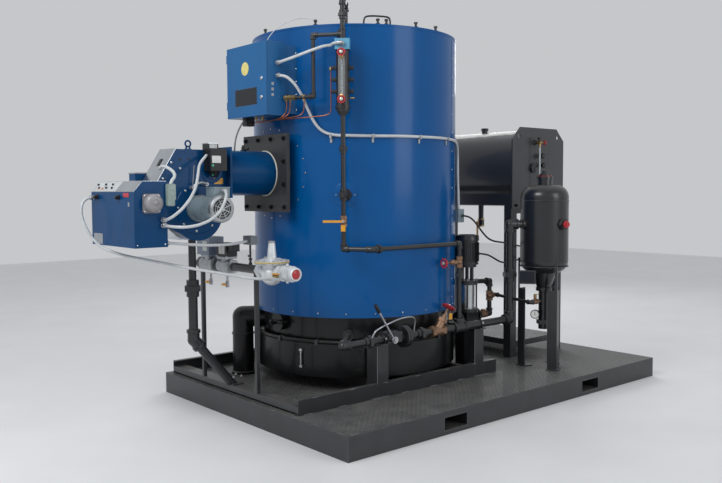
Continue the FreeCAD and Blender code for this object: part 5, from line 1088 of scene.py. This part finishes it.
column_paint = finish("black paint on cast iron", "#1f1f22", 0.4, coat=0.15, grain_mm=2, grain=0.35,
                      patch_mm=70, patch=0.15, dust=0.15, edge_wear_and_highlight="#5d5f63", edge_band_mm=1.5,
                      zones=(((-1.4, -0.7, 2.561), (-0.9, -0.2, 2.634), "#5fa3c4", 0.35, 0.0),))
paint_nodes(column_paint, "water_column")
paint_nodes(black_iron, "column_riser", "column_drain_pipe")
glass = finish("borosilicate gauge glass", "#dfe9ec", 0.06, coat=1.0, grain_mm=8, grain=0.01, patch_mm=40,
               patch=0.03)
glass.node_tree.nodes["Principled BSDF"].inputs["Transmission Weight"].default_value = 0.75
paint_nodes(glass, "gauge_glass")
paint_nodes(red_paint, "gauge_handwheel_low", "gauge_handwheel_high")
COLUMN = Vector((-1.1311, -0.4211, 0))
OUT, SIDE = Vector((-0.70711, -0.70711, 0)), Vector((0.70711, -0.70711, 0))
pale_hub = finish("bare turned wheel hub", "#d6d3cd", 0.3, metal=0.6, grain_mm=1, grain=0.2, patch_mm=10)
for wheel, z in (("gauge_handwheel_low", 2.218), ("gauge_handwheel_high", 2.532)):
    hub = bmesh.new()
    centre = COLUMN + OUT * 0.112 + Vector((0, 0, z))
    lathe(hub, [(0, -0.002), (0.0115, -0.002), (0.0115, 0.004), (0.008, 0.007), (0, 0.008)], centre, OUT,
          24)
    for k in range(12):
        angle = tau * k / 12
        spot = COLUMN + OUT * 0.106 + SIDE * (0.0265 * cos(angle)) + Vector((0, 0, z + 0.0265 * sin(angle)))
        rod(hub, 0.0035, -0.0035, 0.0035, spot, OUT, 8)
    made = keep(wheel + "_hub", hub, pale_hub, wheel.replace("gauge_handwheel", "gauge_wheel"))
    made.data.materials.append(red_paint)
    for face in made.data.polygons:
        if (face.center - Vector(centre)).length > 0.016:
            face.material_index = 1
guards = bmesh.new()
for side in (-1, 1):
    for across in (0.020, 0.012):
        start = COLUMN + OUT * (0.067 + 0.004 * (0.020 - across) / 0.008) + SIDE * (side * across)
        rod(guards, 0.0022, 0, 0.286, start + Vector((0, 0, 2.232)), UP, 8)
keep("gauge_guard_rods", guards, screw_metal)
column_bits = bmesh.new()
for z in (2.44, 2.36, 2.28):
    for side in (-1, 1):
        spot = COLUMN + SIDE * (side * 0.043) + Vector((0, 0, z))
        lathe(column_bits, [(0, 0), (0.017, 0), (0.017, 0.008), (0.0125, 0.011), (0.0125, 0.018),
                            (0.015, 0.019), (0.015, 0.030), (0.008, 0.034), (0, 0.034)], spot, SIDE * side,
              8)
keep("try_cock_caps", column_bits, black_iron)
glass_nuts = bmesh.new()
for z, way in ((2.218, 1), (2.532, -1)):
    lathe(glass_nuts, [(0, 0.018), (0.0145, 0.018), (0.0145, 0.034), (0.010, 0.040), (0, 0.040)],
          COLUMN + OUT * 0.067 + Vector((0, 0, z)), (0, 0, way), 6)
    rod(glass_nuts, 0.0125, 0, 0.012, COLUMN + OUT * 0.086 + Vector((0, 0, z)), OUT, 6)
rod(glass_nuts, 0.006, 0, 0.03, COLUMN + SIDE * 0.05 + Vector((0, 0, 2.236)), SIDE, 10)
keep("gauge_glass_nuts", glass_nuts, brass)
lid = bmesh.new()
turn = facing_out(-135)
low, high = COLUMN + Vector((-0.043, -0.053, 2.628)), COLUMN + Vector((0.043, 0.053, 2.634))
block(lid, low, high, 0.002, turn)
keep("probe_head_lid", lid, finish("pale blue enamel on probe head", "#6fb0cf", 0.35, coat=0.3, grain_mm=2,
     grain=0.1, patch_mm=60))
probe_gland = bmesh.new()
knee = COLUMN + OUT * 0.064 + Vector((0, 0, 2.600))
lathe(probe_gland, [(0, 0), (0.017, 0), (0.017, 0.010), (0.0135, 0.012), (0.0135, 0.024), (0, 0.024)],
      COLUMN + OUT * 0.039 + Vector((0, 0, 2.600)), OUT, 12)
bmesh.ops.create_icosphere(probe_gland, subdivisions=2, radius=0.0155, matrix=Matrix.Translation(knee))
lathe(probe_gland, [(0, 0), (0.014, 0), (0.014, 0.014), (0.0165, 0.015), (0.0165, 0.026), (0, 0.026)], knee,
      -SIDE - OUT * 0.15, 12)
tube("probe_head_whip", [knee - SIDE * 0.02, knee - SIDE * 0.05 - OUT * 0.012,
                         knee - SIDE * 0.066 - OUT * 0.036, Vector((-1.1885, -0.3715, 2.594)),
                         Vector((-1.193, -0.368, 2.5933))], 0.0105, grey_sheath)
keep("probe_head_gland", probe_gland, clip_metal)


# ---- pipe fittings ----------------------------------------------------------------------------
# Malleable iron elbows and tees: a swelled body at each corner with a banded, threaded socket on
# every run that leaves it. Same thin black paint as the pipe.

drain_way = (Vector((-1.029, -0.6, 0)) - COLUMN).normalized()
loop_way = (Vector((-1.262, -0.262, 0)) - COLUMN).normalized()
corners = ((COLUMN + Vector((0, 0, 1.2)), 0.0167, (UP, drain_way)),
           ((-1.029, -0.6, 1.2), 0.0167, (-drain_way, RIGHT)), ((-0.152, -0.6, 1.2), 0.0167, (LEFT, DOWN)),
           (COLUMN + Vector((0, 0, 2.905)), 0.0167, (DOWN, -OUT)), (around(-135, 0.71, 2.905), 0.0167,
        (DOWN, OUT)), (COLUMN + Vector((0, 0, 2.668)), 0.0150, (UP, DOWN, loop_way)),
           ((-1.262, -0.262, 2.668), 0.0134, (-loop_way, DOWN)), ((-1.262, -0.262, 2.252), 0.0134,
        (UP, run_way)), (COLUMN + Vector((0, 0, 1.574)), 0.0167, (UP, DOWN, -OUT, OUT)),
           ((-1.290, -0.6, 0.565), 0.024, (RIGHT, (0.7, 0.714, 0))), ((-0.152, -0.6, 0.565), 0.029,
        (LEFT, RIGHT, UP)), ((0.442, -0.6, 0.565), 0.029, (LEFT, UP)), ((0.442, -0.6, 1.328), 0.029,
        (DOWN, (0.923, -0.385, 0))), ((0.476, -0.36, 0.582), 0.019, (LEFT, UP)),
           ((0.476, -0.36, 0.850), 0.019, (LEFT, DOWN)), ((0.556, -0.36, 0.73), 0.013, (LEFT, NEARWARD)),
           ((0.556, -0.72, 0.70), 0.013, (BACK, RIGHT)), ((-1.943, 0.238, 0.575), 0.032,
        (UP, (0.698, 0, -0.716))), ((-1.59, 0.64, 1.732), 0.030, (DOWN, NEARWARD)))
sockets = bmesh.new()
for spot, radius, ways in corners:
    bmesh.ops.create_icosphere(sockets, subdivisions=3, radius=radius * 1.34,
                               matrix=Matrix.Translation(spot))
    for way in ways:
        lathe(sockets, [(radius * across, radius * along) for across, along in (
            (0.9, 0.2), (1.3, 0.2), (1.3, 1.5), (1.48, 1.6), (1.48, 2.2), (1.42, 2.3), (0.9, 2.3))],
            spot, way, 28)
keep("pipe_fitting_sockets", sockets, black_iron)
keep("drain_cover_plate", lathe(bmesh.new(), [(0, -0.005), (0.088, -0.005), (0.088, 0.0012),
            (0.086, 0.0022), (0, 0.0022)], around(-135, JACKET, 1.574), OUT, 72), jacket_paint)
round_screws("drain_cover_screws", [(around(-135, JACKET + 0.0022, 1.574) + SIDE * (side * 0.066), OUT)
             for side in (-1, 1)], 0.006, screw_metal)


# ---- drain and gate valves --------------------------------------------------------------------
# Cast bronze valves in the drain and feed lines. The ball valve's lever has a yellow vinyl grip
# and a blank yellow tag; the gate valve has a red cast wheel with a bright nut.

bronze = finish("cast bronze, handled", "#8f715b", 0.42, metal=0.7, grain_mm=1.5, grain=0.35, patch_mm=30,
                patch=0.2, dust=0.12)
paint_nodes(bronze, "bronze_valves")
paint_nodes(yellow_grip, "drain_valve_lever", "tank_drain_lever")
paint_nodes(red_paint, "gate_valve_handwheel", "y_valve_handwheel", "tank_gauge_handwheel")


def wheel_nut(name, at, way, radius, body, scallops=0, rim=0.0, thick=0.0):
    """A handwheel's nut and washer, and the finger bumps round its rim where it has them."""
    shape = bmesh.new()
    rod(shape, radius, 0, radius * 0.25, at, way, 24)
    rod(shape, radius * 0.6, 0, radius * 0.8, at, way, 6)
    keep(name, shape, pale_hub, body)
    if scallops:
        bumps = bmesh.new()
        turn = Vector(way).to_track_quat("Z", "Y").to_matrix()
        middle = Vector(at) - Vector(way).normalized() * thick * 1.5
        for k in range(scallops):
            angle = tau * k / scallops
            spot = middle + turn @ Vector((rim * cos(angle), rim * sin(angle), 0))
            bmesh.ops.create_icosphere(bumps, subdivisions=2, radius=thick * 1.25,
                                       matrix=Matrix.Translation(spot))
        keep(name + "_scallops", bumps, red_paint, body)


wheel_nut("gate_wheel_nut", (-0.3255, -0.6, 1.062), LEFT, 0.013, "gate_wheel", 10, 0.0335, 0.005)
lever_nut = bmesh.new()
lever_hub = COLUMN + OUT * 0.053 + Vector((0, 0, 1.392))
rod(lever_nut, 0.009, 0, 0.006, lever_hub, OUT, 6)
keep("drain_lever_nut", lever_nut, screw_metal, "drain_lever")
tag = bmesh.new()
spot = COLUMN + OUT * 0.034 + Vector((0, 0, 1.345))
pad(tag, spot, (0.0008, 0.016, 0.022), 0.0004, facing_out(-135))
keep("drain_valve_tag", tag, yellow_grip)
keep("gate_valve_bonnet", lathe(bmesh.new(), [(0, 0), (0.023, 0), (0.024, 0.006), (0.015, 0.012),
            (0.012, 0.030), (0, 0.030)], (-0.226, -0.6, 1.062), LEFT, 6), bronze)


# ---- blowdown line ----------------------------------------------------------------------------
# Heavy black pipe along two posts: a flanged quick-opening valve with a long steel lever, a
# bronze Y valve with a scalloped red wheel, and bolted flanges between the two.

pipe_paint = finish("black paint on heavy pipe", "#202124", 0.34, coat=0.25, grain_mm=3, grain=0.22,
                    patch_mm=110, patch=0.16, dust=0.22, edge_wear_and_highlight="#66686c", edge_band_mm=1.5, wave_mm=60,
                    wave=0.05)
paint_nodes(pipe_paint, "blowdown_pipe")
flange_places = [((-0.754, -0.6 + 0.062 * cos(radians(a)), 0.565 + 0.062 * sin(radians(a))), LEFT)
                 for a in range(45, 405, 90)]
flange_places += [((-0.710, y, z), RIGHT) for (x, y, z), way in flange_places]
bolts("blowdown_flange_bolts", flange_places, 0.022, 0.015, black_fastener)
bolts("quick_valve_cover_bolts", [((-0.864 + x, -0.6 + y, 0.615), UP) for x in (-0.045, 0.055)
      for y in (-0.032, 0.032)], 0.014, 0.009, black_fastener)
lever_steel = finish("bare steel lever, handled", "#b3b6b9", 0.3, metal=0.9, grain_mm=1.5, grain=0.15,
                     patch_mm=60, patch=0.15, streak=(1, 1, 0.2))
paint_nodes(lever_steel, "quick_valve_lever")
lean = radians(34)
lever_way = Vector((-sin(lean), 0, cos(lean)))
lever_foot = Vector((-0.905, -0.690, 0.573))
keep("quick_lever_grip", lathe(bmesh.new(), [(0, 0), (0.0105, 0), (0.0125, 0.004), (0.0125, 0.060),
            (0.010, 0.068), (0, 0.070)], lever_foot + lever_way * 0.246, lever_way, 24), black_moulding,
     "quick_lever")
keep("quick_lever_nut", rod(bmesh.new(), 0.016, 0, 0.010, (-0.905, -0.704, 0.573), NEARWARD, 6),
     zinc_fastener, "quick_lever")
tube("blowdown_guard_hose", [(-1.065, -0.640, 0.600), (-1.060, -0.655, 0.640), (-1.010, -0.665, 0.668),
                             (-0.930, -0.670, 0.690), (-0.840, -0.672, 0.712), (-0.740, -0.670, 0.716),
                             (-0.680, -0.660, 0.700), (-0.664, -0.645, 0.660), (-0.662, -0.632, 0.602)],
     0.006, lever_steel)
wheel_nut("y_wheel_nut", (-0.268 + 0.6 * 0.009, -0.6, 0.7298 + 0.8 * 0.009), (0.6, 0, 0.8), 0.016,
          "y_wheel", 12, 0.044, 0.006)
keep("y_valve_tag", block(bmesh.new(), (-0.312, -0.6465, 0.645), (-0.278, -0.6450, 0.690), 0.0005),
     yellow_grip)
tube("y_valve_tag_wire", [(-0.300, -0.640, 0.700), (-0.298, -0.646, 0.696), (-0.296, -0.6458, 0.688)],
     0.0012, screw_metal)


# ---- blowdown separator -----------------------------------------------------------------------
# A dished pressure vessel in black on three angle legs. Bright rings are its girth welds; a
# red-lined thread seal shows at the top nozzle and a red plug closes the side coupling.

vessel_paint = finish("black enamel on pressure vessel", "#1b1c1f", 0.32, coat=0.35, grain_mm=2.5,
                      grain=0.12, patch_mm=200, patch=0.12, dust=0.25, wave_mm=140, wave=0.05)
paint_nodes(vessel_paint, "separator_vessel")
SEP = Vector((0.73, -0.72, 0))
side_out = out_way(-97)
plug = bmesh.new()
lathe(plug, [(0, -0.004), (0.029, -0.004), (0.029, 0.006), (0.020, 0.008), (0.020, 0.020), (0, 0.020)],
      SEP + side_out * 0.232 + Vector((0, 0, 1.328)), side_out, 24)
lathe(plug, [(0.049, 0.0), (0.054, 0.0), (0.054, 0.004), (0.049, 0.004)], SEP + Vector((0, 0, 1.710)), UP,
      36)
keep("separator_red_plug", plug, red_paint)
keep("separator_top_plug", lathe(bmesh.new(), [(0, 0), (0.040, 0), (0.040, 0.012), (0.020, 0.014),
            (0.020, 0.034), (0, 0.034)], SEP + Vector((0, 0, 1.721)), UP, 24), black_iron)
plate_turn = Matrix.Rotation(radians(-53.3), 3, "Z")
plate_middle = Vector((0.4788, -0.659, 0.905)) + plate_turn @ Vector((0.0675, 0.0, 0))
tag_plate = bmesh.new()
half = Vector((0.060, 0.0012, 0.047))
spot = plate_middle + plate_turn @ Vector((0, -0.0012, 0))
pad(tag_plate, spot, half, 0.0006, plate_turn)
keep("separator_blank_plate", tag_plate, finish("plain dark etched plate", "#1c222b", 0.35, metal=0.5,
        edge_wear_and_highlight="#a9aeb4", edge_band_mm=1, grain_mm=1, grain=0.1, patch_mm=40))
dial_out = out_way(-150)
gauge_out = out_way(-188)
dial_at = SEP + gauge_out * 0.092 + dial_out * 0.028 + Vector((0, 0, 0.598))
keep("drain_gauge_dial", rod(bmesh.new(), 0.031, 0.0002, 0.0012, dial_at, dial_out, 40),
     finish("bare white dial", "#e4e3de", 0.4, coat=0.8, grain_mm=3, grain=0.02, patch_mm=25, patch=0.02))
bezel = bmesh.new()
lathe(bezel, [(0.031, -0.004), (0.0365, -0.004), (0.0365, 0.003), (0.034, 0.005), (0.031, 0.004)], dial_at,
      dial_out, 40)
rod(bezel, 0.004, 0.0012, 0.0035, dial_at, dial_out, 16)
pointer_turn = Matrix.Rotation(radians(-150), 3, "Z")
spot = dial_at + dial_out * 0.002 + Vector((0, 0, 0.010))
pad(bezel, spot, (0.0004, 0.0012, 0.014), 0.0003, pointer_turn)
keep("drain_gauge_bezel", bezel, black_moulding)
cool_valve = bmesh.new()
lathe(cool_valve, [(0, 0), (0.014, 0), (0.014, 0.012), (0.008, 0.014), (0.008, 0.022), (0, 0.022)],
      (0.617, -0.72, 0.741), UP, 6)
block(cool_valve, (0.602, -0.7255, 0.755), (0.672, -0.7145, 0.760), 0.002)
keep("cooling_valve_handle", cool_valve, brass)


# ---- feedwater tank ---------------------------------------------------------------------------
# Rolled plate between two flat ends with cut corners and lifting holes, in satin charcoal. Its
# level glass hangs on two brass valves; girth welds run where the shell meets each end.

tank_paint = finish("satin charcoal on tank plate", "#37383b", 0.36, coat=0.3, grain_mm=2.5, grain=0.15,
                    patch_mm=320, patch=0.12, dust=0.25, edge_wear_and_highlight="#76787c", edge_band_mm=2, wave_mm=240, wave=0.06)
paint_nodes(tank_paint, "tank_shell", "tank_ends")
paint_nodes(finish("brass valves with a clear glass", "#a88f5f", 0.3, metal=0.9, grain_mm=1, grain=0.15,
                   patch_mm=18, zones=(((1.0, -0.5, 1.604), (1.12, -0.38, 1.966), "#b9c0c4", 0.12, 0.35),)),
            "tank_gauge")
TANK_X, TANK_Z, TANK_R = 1.115, 1.79, 0.335
tank_welds = bmesh.new()
for y, way in ((-0.354, 1), (0.988, -1)):
    lathe(tank_welds, [(TANK_R - 0.001, -0.001), (TANK_R + 0.006, -0.001), (TANK_R + 0.003, 0.004),
                       (TANK_R - 0.001, 0.006)], (TANK_X, y, TANK_Z), (0, way, 0), 96)
keep("tank_girth_welds", tank_welds, tank_paint)
flange_nuts = [((x, -0.366, z), NEARWARD) for x, z in ((0.81, 1.47), (1.42, 1.47))]
bolts("tank_stand_bolts", flange_nuts, 0.02, 0.012, black_fastener)
gauge_bits = bmesh.new()
for z in (2.008, 1.560):
    lathe(gauge_bits, [(0, 0), (0.024, 0), (0.024, 0.010), (0.017, 0.014), (0.017, 0.026), (0, 0.026)],
          (1.06, -0.366, z), NEARWARD, 6)
    lathe(gauge_bits, [(0, 0), (0.012, 0), (0.012, 0.03), (0.018, 0.032), (0.018, 0.044), (0, 0.046)],
          (1.06, -0.418, z), (-0.2, 0, -1 if z < 1.8 else 1), 12)
for x, z in ((1.128, 1.895), (1.140, 1.815)):
    lathe(gauge_bits, [(0, 0), (0.014, 0), (0.014, 0.03), (0.024, 0.032), (0.024, 0.050), (0.016, 0.054),
                       (0, 0.054)], (x, -0.366, z), NEARWARD, 8)
    rod(gauge_bits, 0.012, -0.034, 0.034, (x, -0.408, z), (1, 0, 0.3), 8)
lathe(gauge_bits, [(0, 0), (0.042, 0), (0.042, 0.022), (0.030, 0.026), (0, 0.026)], (1.03, -0.366, 1.79),
      NEARWARD, 8)
keep("tank_gauge_fittings", gauge_bits, black_iron)
wheel_nut("tank_gauge_wheel_nut", (1.1312, -0.418, 2.008), RIGHT, 0.008, "tank_gauge_wheel")
drain_body = bmesh.new()
for z in (1.335, 1.275):
    lathe(drain_body, [(0, 0), (0.031, 0), (0.031, 0.012), (0.026, 0.016), (0, 0.016)], (TANK_X, 0.291, z),
          DOWN, 8)
keep("tank_drain_collars", drain_body, brass)
shelf_lugs = grown("shelf_tread_lugs", bpy.data.meshes.new("shelf_tread_lugs"), lug_tree, {
    "Long": 0.54, "Wide": 1.30, "Pitch": 0.042, "Rise": 0.0014, "Metal": lug_paint})
SHELF_TOP = 0.302
shelf_lugs.data.transform(Matrix.Translation((TANK_X, 0.317, SHELF_TOP - DECK)))
shelf_lugs.data.update()
stand_runs = []
for x in (0.759, 1.471):
    for y in (-0.356, 0.990):
        stand_runs.append(((x - 0.001, y, DECK + 0.002), (x + 0.001, y - 0.07 * (1 if y > 0 else -1),
                    DECK + 0.002)))
for x in (0.77, 1.40):
    stand_runs.append(((x, -0.3555, 1.466), (x + 0.05, -0.3555, 1.466)))
    stand_runs.append(((x, -0.3555, DECK + 0.002), (x + 0.06, -0.3555, DECK + 0.002)))
beads("stand_welds", stand_runs, 0.003, 0.0045)
keep("junction_box_lid", block(bmesh.new(), (1.325, -0.350, 1.056), (1.331, -0.282, 1.184), 0.002),
     motor_paint)
cable_glands = bmesh.new()
for y, z in ((-0.323, 1.130), (-0.317, 1.092)):
    lathe(cable_glands, [(0, 0), (0.015, 0), (0.015, 0.010), (0.012, 0.012), (0.012, 0.020), (0.009, 0.022),
                         (0.009, 0)], (1.327, y, z), LEFT, 12)
keep("junction_box_glands", cable_glands, black_moulding)


# ---- feed pump --------------------------------------------------------------------------------
# A vertical multistage pump: black motor with a fan cowl, stainless sleeve held by staybolts and
# a cast base, piped through a bronze check valve. A small grey switch box sits on the jacket.

pump_paint = finish("black enamel on pump castings", "#1a1b1d", 0.36, coat=0.3, grain_mm=2, grain=0.2,
                    patch_mm=60, patch=0.14, dust=0.22, edge_wear_and_highlight="#5d5f63", edge_band_mm=1.2)
paint_nodes(pump_paint, "pump_motor", "pump_body")
paint_nodes(finish("brushed stainless sleeve", "#bfc2c4", 0.26, metal=1, grain_mm=1, grain=0.12,
                   patch_mm=60, patch=0.06, streak=(0.2, 0.2, 1)), "pump_sleeve")
paint_nodes(pipe_paint, "feed_pipework")
paint_nodes(finish("grey enamel on switch box", "#9fabb5", 0.4, coat=0.2, grain_mm=2, grain=0.12,
                   patch_mm=60, dust=0.12, edge_wear_and_highlight="#9aa3ab", edge_band_mm=1.2), "pump_switch_box")
fin_tree, fin_in, fin_out = nodes_tree("motor fins", (
    ("Count", "NodeSocketInt"), ("Radius", "NodeSocketFloat"), ("Tall", "NodeSocketFloat"),
    ("Deep", "NodeSocketFloat"), ("Metal", "NodeSocketMaterial")))
fin_circle = add(fin_tree, "GeometryNodeMeshCircle", {"Vertices": fin_in.outputs["Count"],
                 "Radius": fin_in.outputs["Radius"]})
fin_size = add(fin_tree, "ShaderNodeCombineXYZ", {0: fin_in.outputs["Deep"], 1: 0.0022,
        2: fin_in.outputs["Tall"]})
fin_blade = add(fin_tree, "GeometryNodeMeshCube", {"Size": fin_size.outputs[0]})
fin_place = add(fin_tree, "GeometryNodeInputPosition")
fin_turn = add(fin_tree, "FunctionNodeAlignRotationToVector", {"Vector": fin_place.outputs[0]}, axis="X")
fin_set = add(fin_tree, "GeometryNodeInstanceOnPoints", {"Points": fin_circle.outputs[0],
              "Instance": fin_blade.outputs[0], "Rotation": fin_turn.outputs[0]})
fin_real = add(fin_tree, "GeometryNodeRealizeInstances", {0: fin_set.outputs[0]})
fin_done = add(fin_tree, "GeometryNodeSetMaterial", {"Geometry": fin_real.outputs[0],
               "Material": fin_in.outputs["Metal"]})
fin_tree.links.new(fin_done.outputs[0], fin_out.inputs[0])
PUMP = Vector((0.20, -0.36, 0))
pump_fins = grown("pump_motor_fins", bpy.data.meshes.new("pump_motor_fins"), fin_tree, {
    "Count": 36, "Radius": 0.091, "Tall": 0.150, "Deep": 0.012, "Metal": pump_paint})
pump_fins.data.transform(Matrix.Translation(PUMP + Vector((0, 0, 1.108))))
blower_fins = grown("blower_motor_fins", bpy.data.meshes.new("blower_motor_fins"), fin_tree,
                    {"Count": 44, "Radius": 0.0815, "Tall": 0.090, "Deep": 0.0075, "Metal": motor_paint})
blower_fins.data.transform(Matrix.Translation((-1.945, -0.079, 1.489)) @ Matrix.Rotation(radians(90), 4,
        "X"))
cowl = bmesh.new()
lathe(cowl, [(0, 1.243), (0.070, 1.243), (0.090, 1.238), (0.096, 1.228), (0.096, 1.198), (0.093, 1.196),
             (0.093, 1.232), (0, 1.236)], PUMP, UP, 56)
for radius in (0.025, 0.045, 0.065):
    lathe(cowl, [(radius - 0.002, 1.241), (radius + 0.002, 1.241), (radius + 0.002, 1.246),
                 (radius - 0.002, 1.246), (radius - 0.002, 1.241)], PUMP, UP, 40)
keep("pump_motor_cowl", cowl, pump_paint)
stay_nuts = [(PUMP + Vector((0.076 * cos(radians(a)), 0.076 * sin(radians(a)), z)), (0, 0, way))
             for a in (45, 135, 225, 315) for z, way in ((0.880, 1), (0.652, 1))]
stay_nuts += [(PUMP + Vector((x, y, 0.518)), UP) for x in (-0.069, 0.089) for y in (-0.073, 0.049)]
bolts("pump_bolts", stay_nuts, 0.014, 0.010, zinc_fastener)
bolts("pump_port_bolts", [((0.312, -0.36 + 0.049 * cos(radians(a)), 0.582 + 0.049 * sin(radians(a))),
      RIGHT) for a in range(45, 405, 90)], 0.015, 0.010, zinc_fastener)
keep("pump_switch_lid", block(bmesh.new(), (0.064, -0.389, 1.347), (0.134, -0.383, 1.453), 0.002),
     motor_paint)
keep("pump_switch_gland", lathe(bmesh.new(), [(0.0075, 0), (0.014, 0), (0.014, 0.008), (0.0095, 0.010),
            (0.0075, 0.010)], (0.108, -0.388, 1.400), NEARWARD, 12), black_moulding)
